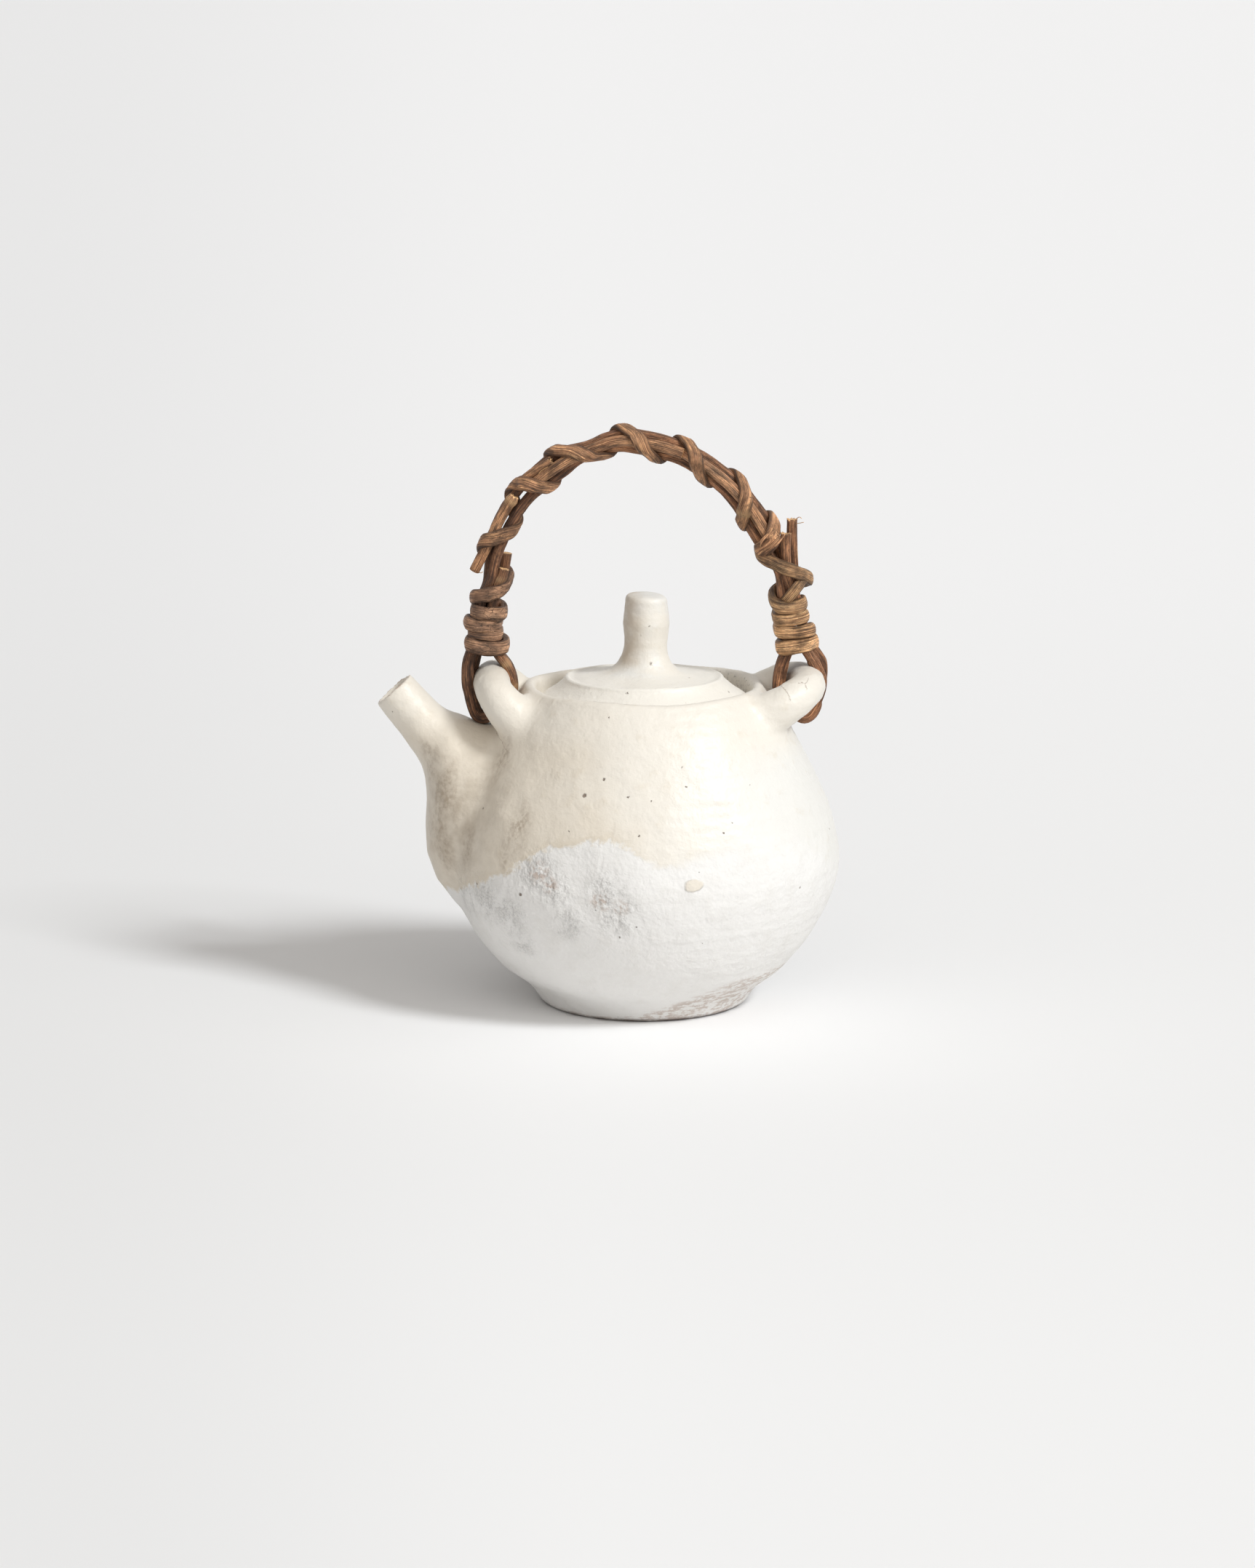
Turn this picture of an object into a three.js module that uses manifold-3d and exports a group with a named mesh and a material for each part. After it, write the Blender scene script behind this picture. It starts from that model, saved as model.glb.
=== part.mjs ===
// A stoneware teapot with a cane handle, in millimetres, +Z up.
// The origin is the centre of the foot, on the table. The spout points along -X,
// the two lugs stand on the X axis and the handle's arch lies in the XZ plane.
import * as THREE from 'three';
import { mergeVertices } from 'three/addons/utils/BufferGeometryUtils.js';
import Module from 'manifold-3d';

const wasm = await Module();
wasm.setup();

// Gaps between pieces that touch
const clayGap = 0.3;
const caneGap = 0.35;

// Thrown body, outside
const footRadius = 34.7;
const skirtRadius = 41.5;
const skirtHeight = 9;
const bellyRadius = 65.9;
const bellyHeight = 49.6;
const shoulderRadius = 49.2;
const shoulderDrop = 14.6;
const rimRadius = 39.8;
const rimHeight = 108.6;
const shoulderHeight = rimHeight - shoulderDrop;

// Thrown body, inside
const wallThickness = 5;
const floorThickness = 7;
const floorCornerRadius = 9;
const lipThickness = 3.4;
const galleryDepth = 6.9;
const galleryWidth = 6.1;
const ledgeThickness = 3.6;
const ledgeTaper = 5;

// Strainer pierced in the wall behind the spout
const strainerHeight = 70;
const strainerHoleRadius = 2.5;
const strainerSpacing = 9;
const strainerRingHoles = 6;

// Lid
const lidEdgeClearance = 1.1;
const lidEdgeThickness = 1.6;
const lidRingRadius = 26;
const lidRingRise = 8.3;
const lidRingRound = 0.7;
const lidBossRadius = 10.2;
const lidBossRise = 11.7;
const lidPlateThickness = 6.2;
const lidHollowWidth = 3;
const lidHollowDrop = 2.6;
const flangeClearance = 1.2;
const flangeThickness = 3.8;
const flangeDepth = 6.2;
const flangeDraft = 0.5;

// Knob thrown on the lid
const knobHeight = 24.6;
const knobFootRadius = 9.8;
const knobNeckRadius = 7.1;
const knobNeckHeight = 6;
const knobSwellRadius = 7.7;
const knobSwellHeight = 11.5;
const knobTopRadius = 6.8;
const knobEdgeRadius = 1.1;

// Spout, a hollow cone set on the wall over the strainer
const spoutTipRadius = 7.6;
const spoutTipReach = 83.9;
const spoutTipDrop = 2.3;
const spoutTipLean = 49.5;
const spoutNeckLength = 16;
const spoutNeckRadius = 8.6;
const spoutRootLow = 20;
const spoutRootLowSink = 1.5;
const spoutRootHighDrop = 15.1;
const spoutRootHighSink = 3.5;
const spoutRootHalfWidth = 30;
const spoutBulgeHeight = 46;
const spoutBulgeOut = 7;
const spoutBreastHeight = 74;
const spoutBreastOut = 14.3;
const spoutCrookDrop = 13.8;
const spoutCrookOut = 6;
const spoutWall = 4;
const spoutLipWall = 2.2;
const spoutBoreOverrun = 4;

// Lugs, two rolls of clay bent into arches
const lugApexRadius = 5.9;
const lugFootRadius = 6.7;
const lugHalfSpan = 17;
const lugSquareness = 0.6;
const lugApexRise = -0.4;
const lugEyeDrop = 9;
const spoutLugOut = 6.2;
const rearLugOut = 8.8;
const spoutLugFootDrop = 11.6;
const rearLugFootDrop = 8.6;
const lugFootInset = 6.5;
const lugSectionTilt = 0.4;

// Canes of the handle
const caneRadius = 1.75;
const caneSpacing = 4.1;
const loopSideGap = 0.35;
const loopNeckRise = 11.2;
const loopEntry = 2.5;
const innerFlare = 1.1;
const innerFlareDrop = 0.8;
const outerFlare = 1.9;
const outerFlareDrop = 1.6;
const archTopRise = 83.6;
const archTopX = -5;
const archLeftFullness = 1.85;
const archRightFullness = 1.7;
const fillerShift = 1.1;
const fillerStart = 32;
const fillerTail = 21;
const fillerEase = 8;
const coreTurnStart = 2;
const coreTurnLength = 20;
const coreStopInset = 4;
const coreStopSpacing = 9;

// Stations of a loop round its lug, outward and up in loop radii, inner leg first
const loopStations = [
  [-0.91, 0.63],
  [-1.05, 0],
  [-0.76, -0.77],
  [-0.2, -1.22],
  [0.25, -1.36],
  [0.77, -0.92],
  [0.99, -0.36],
  [1.02, 0.4],
];

// Bindings that hold the loops shut
const bindingRise = 33.6;
const leftBindingShift = -1.3;
const leftBindingLean = 2.4;
const rightBindingShift = -2.4;
const rightBindingLean = -3.4;
const leftStubRises = [41.5, 44.6];
const rightStubRises = [52.4, 58.4];
const leftStubLean = 2.6;
const rightStubLean = -1.8;
const stubBow = 0.6;
const bindingStart = 2;
const leftBindingPitch = 4.3;
const rightBindingPitch = 4.9;
const leftBindingTurns = 4.55;
const rightBindingTurns = 4.54;
const leftBindingWidth = 3.6;
const rightBindingWidth = 4;
const bindingThickness = 3.1;
const leftTailRise = 12;
const rightTailRise = 17;
const plainTurns = 3.9;
const bindingReach = 12;

// Cane wound in an open spiral over the arch
const wrapStart = 17.5;
const wrapPitch = 19.6;
const wrapTurns = 6.45;
const wrapWidth = 4;
const wrapThickness = 2.4;
const wrapTailLength = 11.3;
const wrapTailOut = 7.6;
const wrapTailForward = 4.2;
const wrapReach = 8;

// Facets
const potSides = 56;
const lidSides = 48;
const knobSides = 28;
const spoutSides = 28;
const lugSides = 14;
const caneSides = 8;
const windingSides = 6;
const windingSteps = 24;

const clay = (name) => new THREE.MeshStandardMaterial({
  name, color: 0xe9e2d2, roughness: 0.42, metalness: 0,
});
const cane = (name, color) => new THREE.MeshStandardMaterial({
  name, color, roughness: 0.6, metalness: 0,
});

// Solids and meshes

function toSolid(geometry) {
  const bare = geometry.clone();
  bare.deleteAttribute('normal');
  bare.deleteAttribute('uv');
  const merged = mergeVertices(bare, 1e-4);
  return new wasm.Manifold(new wasm.Mesh({
    numProp: 3,
    vertProperties: new Float32Array(merged.attributes.position.array),
    triVerts: new Uint32Array(merged.index.array),
  }));
}

function toGeometry(solid) {
  const mesh = solid.getMesh();
  const geometry = new THREE.BufferGeometry();
  geometry.setAttribute('position', new THREE.BufferAttribute(new Float32Array(mesh.vertProperties), 3));
  geometry.setIndex(new THREE.BufferAttribute(new Uint32Array(mesh.triVerts), 1));
  geometry.computeVertexNormals();
  return geometry;
}

function toMesh(name, geometry, material) {
  const mesh = new THREE.Mesh(geometry, material);
  mesh.name = name;
  return mesh;
}

function revolve(profile, sides) {
  const points = profile.map(([radius, height]) => new THREE.Vector2(radius, height));
  return new THREE.LatheGeometry(points, sides).rotateX(Math.PI / 2);
}

// A closed skin over rings of points, with a fan at each end
function skin(rings) {
  const count = rings[0].length;
  const positions = [];
  const faces = [];
  for (const ring of rings) {
    for (const point of ring) positions.push(point.x, point.y, point.z);
  }
  for (let i = 0; i < rings.length - 1; i += 1) {
    for (let j = 0; j < count; j += 1) {
      const a = i * count + j;
      const b = i * count + ((j + 1) % count);
      faces.push(a, b, a + count, b, b + count, a + count);
    }
  }
  for (const [start, flip] of [[0, true], [(rings.length - 1) * count, false]]) {
    const centre = new THREE.Vector3();
    for (let j = 0; j < count; j += 1) {
      centre.add(new THREE.Vector3().fromArray(positions, (start + j) * 3));
    }
    centre.divideScalar(count);
    const hub = positions.length / 3;
    positions.push(centre.x, centre.y, centre.z);
    for (let j = 0; j < count; j += 1) {
      const a = start + j;
      const b = start + ((j + 1) % count);
      if (flip) faces.push(hub, b, a);
      else faces.push(hub, a, b);
    }
  }
  const geometry = new THREE.BufferGeometry();
  geometry.setAttribute('position', new THREE.Float32BufferAttribute(positions, 3));
  geometry.setIndex(faces);
  geometry.computeVertexNormals();
  return geometry;
}

// Rings of an oval section along a path: radials say which way the thickness lies
function sweepRings(path, radials, halfWidths, halfThicknesses, sides) {
  return path.map((point, i) => {
    const before = path[Math.max(i - 1, 0)];
    const after = path[Math.min(i + 1, path.length - 1)];
    const tangent = after.clone().sub(before).normalize();
    const radial = radials[i].clone();
    radial.addScaledVector(tangent, -radial.dot(tangent)).normalize();
    const across = new THREE.Vector3().crossVectors(radial, tangent);
    const ring = [];
    for (let k = 0; k < sides; k += 1) {
      const angle = (2 * Math.PI * k) / sides;
      ring.push(point.clone()
        .addScaledVector(across, halfWidths[i] * Math.cos(angle))
        .addScaledVector(radial, halfThicknesses[i] * Math.sin(angle)));
    }
    return ring;
  });
}

// Thrown body

function outerRadius(height) {
  if (height < skirtHeight) {
    return THREE.MathUtils.mapLinear(height, 0, skirtHeight, footRadius, skirtRadius);
  }
  if (height < bellyHeight) {
    const down = (bellyHeight - height) / (bellyHeight - skirtHeight);
    return bellyRadius - (bellyRadius - skirtRadius) * down ** 2;
  }
  if (height < shoulderHeight) {
    const up = (height - bellyHeight) / (shoulderHeight - bellyHeight);
    return bellyRadius - (bellyRadius - shoulderRadius) * up ** 1.5;
  }
  return THREE.MathUtils.mapLinear(height, shoulderHeight, rimHeight, shoulderRadius, rimRadius);
}

function steps(from, to, count) {
  return Array.from({ length: count + 1 }, (_, i) => from + ((to - from) * i) / count);
}

const lipRadius = lipThickness / 2;
const lipHeight = rimHeight - lipRadius;
const galleryHeight = rimHeight - galleryDepth;
const galleryRadius = rimRadius - lipThickness - clayGap;
const throatRadius = galleryRadius - galleryWidth;

function wallOutline(extra) {
  return [
    [footRadius + extra, 0],
    ...steps(skirtHeight / 2, skirtHeight, 1).map((z) => [outerRadius(z) + extra, z]),
    ...steps(skirtHeight, bellyHeight, 7).slice(1).map((z) => [outerRadius(z) + extra, z]),
    ...steps(bellyHeight, shoulderHeight, 7).slice(1).map((z) => [outerRadius(z) + extra, z]),
    [rimRadius + extra, lipHeight],
  ];
}

function makePotWall() {
  const lip = steps(0, Math.PI, 4).slice(1).map((angle) => [
    rimRadius - lipRadius + lipRadius * Math.cos(angle),
    lipHeight + lipRadius * Math.sin(angle),
  ]);
  const ceilingHeight = galleryHeight - ledgeThickness;
  const innerTop = ceilingHeight - ledgeTaper;
  const innerBottom = floorThickness + floorCornerRadius;
  const inner = steps(innerTop, innerBottom, 9).map((z) => [outerRadius(z) - wallThickness, z]);
  const profile = [
    [0, 0],
    ...wallOutline(0),
    ...lip,
    [galleryRadius, galleryHeight],
    [throatRadius, galleryHeight],
    [throatRadius, ceilingHeight],
    ...inner,
    [outerRadius(innerBottom) - wallThickness - floorCornerRadius, floorThickness],
    [0, floorThickness],
  ];
  let wall = toSolid(revolve(profile, potSides));
  const holes = [[0, 0]];
  for (let i = 0; i < strainerRingHoles; i += 1) {
    const angle = (2 * Math.PI * i) / strainerRingHoles;
    holes.push([strainerSpacing * Math.cos(angle), strainerSpacing * Math.sin(angle)]);
  }
  const length = 4 * wallThickness;
  for (const [y, up] of holes) {
    const drill = new THREE.CylinderGeometry(strainerHoleRadius, strainerHoleRadius, length, 12);
    drill.rotateZ(Math.PI / 2);
    drill.translate(-outerRadius(strainerHeight) + wallThickness / 2, y, strainerHeight + up);
    wall = wall.subtract(toSolid(drill));
  }
  return toMesh('pot_wall', toGeometry(wall), clay('pot clay'));
}

// What a piece luted to the wall is cut back to
function wallCutter() {
  const outline = wallOutline(clayGap);
  return toSolid(revolve([
    [0, 0],
    ...outline,
    [rimRadius - lipRadius, rimHeight + clayGap],
    [0, rimHeight + clayGap],
  ], potSides));
}

// Spout

const spoutTip = new THREE.Vector3(-spoutTipReach, 0, rimHeight - spoutTipDrop);
const tipLean = THREE.MathUtils.degToRad(spoutTipLean);
const tipAcross = new THREE.Vector3(Math.sin(tipLean), 0, Math.cos(tipLean));
const tipAlong = new THREE.Vector3(-Math.cos(tipLean), 0, Math.sin(tipLean));

function onWall(height, out) {
  return new THREE.Vector3(-outerRadius(height) - out, 0, height);
}

function spoutRings(wallAt, overrun) {
  const neck = spoutTip.clone().addScaledVector(tipAlong, -spoutNeckLength);
  const under = new THREE.CatmullRomCurve3([
    onWall(spoutRootLow, -spoutRootLowSink),
    onWall(spoutBulgeHeight, spoutBulgeOut),
    onWall(spoutBreastHeight, spoutBreastOut),
    neck.clone().addScaledVector(tipAcross, -spoutNeckRadius),
    spoutTip.clone().addScaledVector(tipAcross, -spoutTipRadius),
  ]);
  const crook = onWall(rimHeight - spoutCrookDrop, spoutCrookOut);
  const over = new THREE.CatmullRomCurve3([
    onWall(rimHeight - spoutRootHighDrop, -spoutRootHighSink),
    crook,
    crook.clone().lerp(neck, 0.5).addScaledVector(tipAcross, spoutNeckRadius / 2),
    neck.clone().addScaledVector(tipAcross, spoutNeckRadius),
    spoutTip.clone().addScaledVector(tipAcross, spoutTipRadius),
  ]);
  const rings = steps(0, 1, 14).map((t) => {
    const low = under.getPoint(t);
    const high = over.getPoint(t);
    const centre = low.clone().add(high).multiplyScalar(0.5);
    const half = high.clone().sub(centre);
    const wall = wallAt(t);
    const height = half.length();
    half.multiplyScalar((height - wall) / height);
    const halfWidth = spoutTipRadius + (spoutRootHalfWidth - spoutTipRadius) * (1 - t) ** 1.5 - wall;
    return steps(0, 2 * Math.PI, spoutSides).slice(0, -1).map((angle) => centre.clone()
      .addScaledVector(half, Math.cos(angle))
      .add(new THREE.Vector3(0, halfWidth * Math.sin(angle), 0)));
  });
  if (overrun > 0) {
    rings.push(rings.at(-1).map((point) => point.clone().addScaledVector(tipAlong, overrun)));
  }
  return rings;
}

function makeSpout(cutter) {
  const bore = skin(spoutRings((t) => THREE.MathUtils.lerp(spoutWall, spoutLipWall, t), spoutBoreOverrun));
  const solid = toSolid(skin(spoutRings(() => 0, 0))).subtract(toSolid(bore)).subtract(cutter);
  const bodies = solid.decompose().sort((a, b) => b.volume() - a.volume());
  return toMesh('spout', toGeometry(bodies[0]), clay('spout clay'));
}

// Lugs

const lugHeight = rimHeight + lugApexRise;
const eyeRadius = outerRadius(rimHeight - lugEyeDrop);
const lugs = {
  spout: { side: -1, reach: eyeRadius + spoutLugOut, footDrop: spoutLugFootDrop },
  rear: { side: 1, reach: eyeRadius + rearLugOut, footDrop: rearLugFootDrop },
};

function makeLug(name, lug, cutter) {
  const footHeight = rimHeight - lug.footDrop;
  const footReach = outerRadius(footHeight) - lugFootInset;
  const angles = steps(0, Math.PI, 16);
  const climb = angles.map((angle) => Math.sin(angle) ** lugSquareness);
  const path = angles.map((angle, i) => new THREE.Vector3(
    lug.side * THREE.MathUtils.lerp(footReach, lug.reach, climb[i]),
    -lugHalfSpan * Math.cos(angle),
    THREE.MathUtils.lerp(footHeight, lugHeight, climb[i]),
  ));
  const radii = climb.map((share) => THREE.MathUtils.lerp(lugFootRadius, lugApexRadius, share));
  const outward = path.map(() => new THREE.Vector3(lug.side, 0, lugSectionTilt));
  const roll = toSolid(skin(sweepRings(path, outward, radii, radii, lugSides))).subtract(cutter);
  const bodies = roll.decompose().sort((a, b) => b.volume() - a.volume());
  return toMesh(name, toGeometry(bodies[0]), clay('lug clay'));
}

// Lid and knob

const lidSeat = galleryHeight + clayGap;
const lidBossHeight = lidSeat + lidBossRise;

function makeLidPlate() {
  const edgeRadius = galleryRadius - lidEdgeClearance;
  const flangeRadius = throatRadius - flangeClearance;
  const flangeInner = flangeRadius - flangeThickness;
  const ringHeight = lidSeat + lidRingRise;
  const underside = lidBossHeight - lidPlateThickness;
  const dish = steps(0, 1, 5).map((t) => [
    THREE.MathUtils.lerp(lidRingRadius - lidRingRound, lidBossRadius, t),
    THREE.MathUtils.lerp(ringHeight, lidBossHeight, t ** 2.2),
  ]);
  return toMesh('lid_plate', revolve([
    [0, underside],
    [flangeInner - lidHollowWidth, underside - lidHollowDrop],
    [flangeInner, lidSeat],
    [flangeInner + flangeDraft, lidSeat - flangeDepth],
    [flangeRadius - flangeDraft, lidSeat - flangeDepth],
    [flangeRadius, lidSeat],
    [edgeRadius, lidSeat],
    [edgeRadius, lidSeat + lidEdgeThickness],
    [lidRingRadius + lidRingRound, ringHeight - lidRingRound],
    [lidRingRadius, ringHeight],
    ...dish,
    [0, lidBossHeight],
  ], lidSides), clay('lid clay'));
}

function makeKnob() {
  const base = lidBossHeight + clayGap;
  const top = base + knobHeight;
  const flare = steps(0, 1, 4).map((t) => [
    THREE.MathUtils.lerp(knobFootRadius, knobNeckRadius, Math.sin((t * Math.PI) / 2)),
    base + knobNeckHeight * t ** 1.3,
  ]);
  const swell = steps(knobNeckHeight, knobHeight - knobEdgeRadius, 6).slice(1).map((rise) => {
    const below = rise < knobSwellHeight;
    const from = below ? knobNeckRadius : knobTopRadius;
    const end = below ? knobNeckHeight : knobHeight - knobEdgeRadius;
    const share = (rise - end) / (knobSwellHeight - end);
    return [from + (knobSwellRadius - from) * Math.sin((share * Math.PI) / 2), base + rise];
  });
  return toMesh('lid_knob', revolve([
    [0, base],
    ...flare,
    ...swell,
    [knobTopRadius - knobEdgeRadius * 0.3, top - knobEdgeRadius * 0.3],
    [knobTopRadius - knobEdgeRadius, top],
    [0, top],
  ], knobSides), clay('knob clay'));
}

// Route of the handle

const bindingLow = lugHeight + loopNeckRise;
const bindingHigh = lugHeight + bindingRise;
const archTopHeight = lugHeight + archTopRise;
const halfSpacing = caneSpacing / 2;

// Axis of the bundle inside a binding, at a height
function bindingAxis(side, height) {
  const left = side < 0;
  const lug = left ? lugs.spout : lugs.rear;
  const low = side * lug.reach + (left ? leftBindingShift : rightBindingShift);
  const lean = left ? leftBindingLean : rightBindingLean;
  return low + (lean * (height - bindingLow)) / (bindingHigh - bindingLow);
}

const archLeft = bindingAxis(-1, bindingHigh) - halfSpacing;
const archRight = bindingAxis(1, bindingHigh) - halfSpacing;

// The core's centre over the arch, from the left binding to the right one
function archPoint(angle) {
  const left = angle < Math.PI / 2;
  const end = left ? archLeft : archRight;
  const power = 2 / (left ? archLeftFullness : archRightFullness);
  return new THREE.Vector3(
    archTopX + (end - archTopX) * Math.abs(Math.cos(angle)) ** power,
    0,
    bindingHigh + (archTopHeight - bindingHigh) * Math.sin(angle) ** power,
  );
}

class Route {
  constructor(points) {
    this.points = points;
    this.lengths = [0];
    for (let i = 1; i < points.length; i += 1) {
      this.lengths.push(this.lengths[i - 1] + points[i].distanceTo(points[i - 1]));
    }
    this.length = this.lengths.at(-1);
  }

  // Point and tangent at a distance along the route
  at(distance) {
    const { points, lengths } = this;
    let i = lengths.findIndex((length) => length > distance) - 1;
    if (i < 0) i = distance < 0 ? 0 : points.length - 2;
    const share = (distance - lengths[i]) / (lengths[i + 1] - lengths[i]);
    const point = points[i].clone().lerp(points[i + 1], share);
    const from = points[Math.max(i - 1, 0)];
    const to = points[Math.min(i + 2, points.length - 1)];
    const tangent = to.clone().sub(from).normalize();
    return { point, tangent };
  }
}

const arch = new Route(steps(0, Math.PI, 160).map(archPoint));

function smooth(value, from, to) {
  return THREE.MathUtils.smoothstep(value, from, to);
}

function archNormal(tangent) {
  return new THREE.Vector3(-tangent.z, 0, tangent.x);
}

// Where a core cane lies beside the arch's centre line: the pair turns a quarter
// from side by side in the bindings to one above the other in the arch
function coreOffset(which, distance) {
  const fromEnd = Math.min(distance, arch.length - distance);
  const turn = (Math.PI / 2) * (1 - smooth(fromEnd, coreTurnStart, coreTurnLength));
  const shift = fillerShift
    * smooth(distance, fillerStart - fillerEase, fillerStart)
    * (1 - smooth(distance, arch.length - fillerTail, arch.length - fillerTail + fillerEase));
  return [
    which * halfSpacing * Math.cos(turn),
    which * halfSpacing * Math.sin(turn) + shift,
  ];
}

function besideArch(distance, [outward, back]) {
  const { point, tangent } = arch.at(distance);
  return point.addScaledVector(archNormal(tangent), outward).add(new THREE.Vector3(0, back, 0));
}

// Loop of a cane round a lug, from its inner leg to its outer one
function loopPoints(side, y) {
  const lug = side < 0 ? lugs.spout : lugs.rear;
  const centreX = side * lug.reach;
  const round = lugApexRadius + loopSideGap + caneRadius;
  const axis = bindingAxis(side, bindingLow);
  const inner = axis - side * halfSpacing;
  const outer = axis + side * halfSpacing;
  const around = loopStations.map(([out, up]) => (
    new THREE.Vector3(centreX + side * out * round, y, lugHeight + up * round)
  ));
  return [
    new THREE.Vector3(inner, y, bindingLow + loopEntry),
    new THREE.Vector3(inner - side * innerFlare, y, bindingLow - innerFlareDrop),
    ...around,
    new THREE.Vector3(outer + side * outerFlare, y, bindingLow - outerFlareDrop),
    new THREE.Vector3(outer, y, bindingLow + loopEntry),
  ];
}

function coreCanePoints(which) {
  const y = which * halfSpacing;
  const [leftRise, rightRise] = [leftStubRises, rightStubRises].map((rises) => rises[which < 0 ? 0 : 1]);
  const leftTop = lugHeight + leftRise;
  const rightTop = lugHeight + rightRise;
  const leftInner = bindingAxis(-1, bindingHigh) + halfSpacing;
  const rightOuter = bindingAxis(1, bindingHigh) + halfSpacing;
  const turned = coreTurnStart + coreTurnLength;
  const stops = [
    ...steps(coreStopInset, turned, 4),
    ...steps(turned + coreStopSpacing, arch.length - turned - coreStopSpacing, 8),
    ...steps(arch.length - turned, arch.length - coreStopInset, 4),
  ];
  return [
    new THREE.Vector3(leftInner + leftStubLean, y, leftTop),
    new THREE.Vector3(leftInner + leftStubLean * stubBow, y, (leftTop + bindingHigh) / 2),
    new THREE.Vector3(leftInner, y, bindingHigh),
    ...loopPoints(-1, y),
    new THREE.Vector3(archLeft, y, bindingHigh),
    ...stops.map((distance) => besideArch(distance, coreOffset(which, distance))),
    new THREE.Vector3(archRight, y, bindingHigh),
    ...loopPoints(1, y),
    new THREE.Vector3(rightOuter, y, bindingHigh),
    new THREE.Vector3(rightOuter + rightStubLean * stubBow, y, (rightTop + bindingHigh) / 2),
    new THREE.Vector3(rightOuter + rightStubLean, y, rightTop),
  ];
}

function sampled(points, perSpan) {
  const curve = new THREE.CatmullRomCurve3(points, false, 'centripetal');
  return curve.getPoints((points.length - 1) * perSpan);
}

const corePaths = [-1, 1].map((which) => sampled(coreCanePoints(which), 2));
const fillerDistances = steps(fillerStart, arch.length - fillerTail, 14);
const fillerDepth = fillerShift - Math.sqrt(caneSpacing ** 2 - halfSpacing ** 2);
const fillerPath = fillerDistances.map((distance) => besideArch(distance, [0, fillerDepth]));

function makeCane(name, path, color) {
  const across = path.map(() => new THREE.Vector3(0, 1, 0));
  const radii = path.map(() => caneRadius);
  return toMesh(name, skin(sweepRings(path, across, radii, radii, caneSides)), cane(name, color));
}

// Windings

// Where canes cross the plane through a route's point, as distances out and back
function crossings(point, tangent, normal, reach) {
  const found = [];
  for (const path of [...corePaths, fillerPath]) {
    for (let i = 1; i < path.length; i += 1) {
      const from = path[i - 1].clone().sub(point);
      const to = path[i].clone().sub(point);
      const before = from.dot(tangent);
      const after = to.dot(tangent);
      if (before * after <= 0 && before !== after) {
        const hit = from.lerp(to, before / (before - after));
        if (Math.abs(hit.dot(normal)) < reach) found.push([hit.dot(normal), hit.y]);
      }
    }
  }
  return found;
}

// A strip wound over the canes: it lies on the outline of what it goes round
function winding(route, normalOf, reach, distanceAt, angleAt, turns, thickness) {
  const stand = caneRadius + caneGap + thickness / 2;
  const path = [];
  const radials = [];
  const count = Math.round(turns * windingSteps);
  for (let i = 0; i <= count; i += 1) {
    const turn = i / windingSteps;
    const { point, tangent } = route.at(distanceAt(turn));
    const normal = normalOf(tangent);
    const angle = angleAt(turn);
    const sideways = new THREE.Vector3(0, Math.sin(angle), 0);
    const radial = normal.clone().multiplyScalar(Math.cos(angle)).add(sideways);
    const around = crossings(point, tangent, normal, reach);
    const support = (hit) => hit[0] * Math.cos(angle) + hit[1] * Math.sin(angle);
    const [out, back] = around.reduce((best, hit) => (support(hit) > support(best) ? hit : best));
    path.push(point.clone()
      .addScaledVector(normal, out)
      .add(new THREE.Vector3(0, back, 0))
      .addScaledVector(radial, stand));
    radials.push(radial);
  }
  return { path, radials };
}

// Rounds a path's corners, so that a flat side runs into a round one
function relax({ path, radials }) {
  return {
    path: path.map((point, i) => {
      const before = path[Math.max(i - 1, 0)];
      const after = path[Math.min(i + 1, path.length - 1)];
      return point.clone().multiplyScalar(0.5).addScaledVector(before, 0.25).addScaledVector(after, 0.25);
    }),
    radials,
  };
}

function leastGap(rings) {
  let least = Infinity;
  const apart = Math.round(windingSteps * 0.55);
  for (let i = 0; i < rings.length; i += 1) {
    for (let j = i + apart; j < rings.length; j += 1) {
      for (const a of rings[i]) {
        for (const b of rings[j]) least = Math.min(least, a.distanceTo(b));
      }
    }
  }
  return least;
}

function makeWinding(name, { path, radials }, width, thickness, color) {
  const halfWidths = path.map(() => width / 2);
  const halfThicknesses = path.map(() => thickness / 2);
  const rings = sweepRings(path, radials, halfWidths, halfThicknesses, windingSides);
  console.log(`${name}: least gap to itself ${leastGap(rings).toFixed(2)} mm`);
  return toMesh(name, skin(rings), cane(name, color));
}

function bindingWinding(side) {
  const left = side < 0;
  const pitch = left ? leftBindingPitch : rightBindingPitch;
  const turns = left ? leftBindingTurns : rightBindingTurns;
  const tailRise = left ? leftTailRise : rightTailRise;
  const heights = [bindingLow, archTopHeight];
  const route = new Route(heights.map((z) => new THREE.Vector3(bindingAxis(side, z), 0, z)));
  const normalOf = (tangent) => new THREE.Vector3(side * tangent.z, 0, -side * tangent.x);
  const distanceAt = (turn) => bindingStart + pitch * turn + tailRise * Math.max(0, turn - plainTurns) ** 2;
  const angleAt = (turn) => Math.PI / 2 - 2 * Math.PI * turn;
  return relax(winding(route, normalOf, bindingReach, distanceAt, angleAt, turns, bindingThickness));
}

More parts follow.
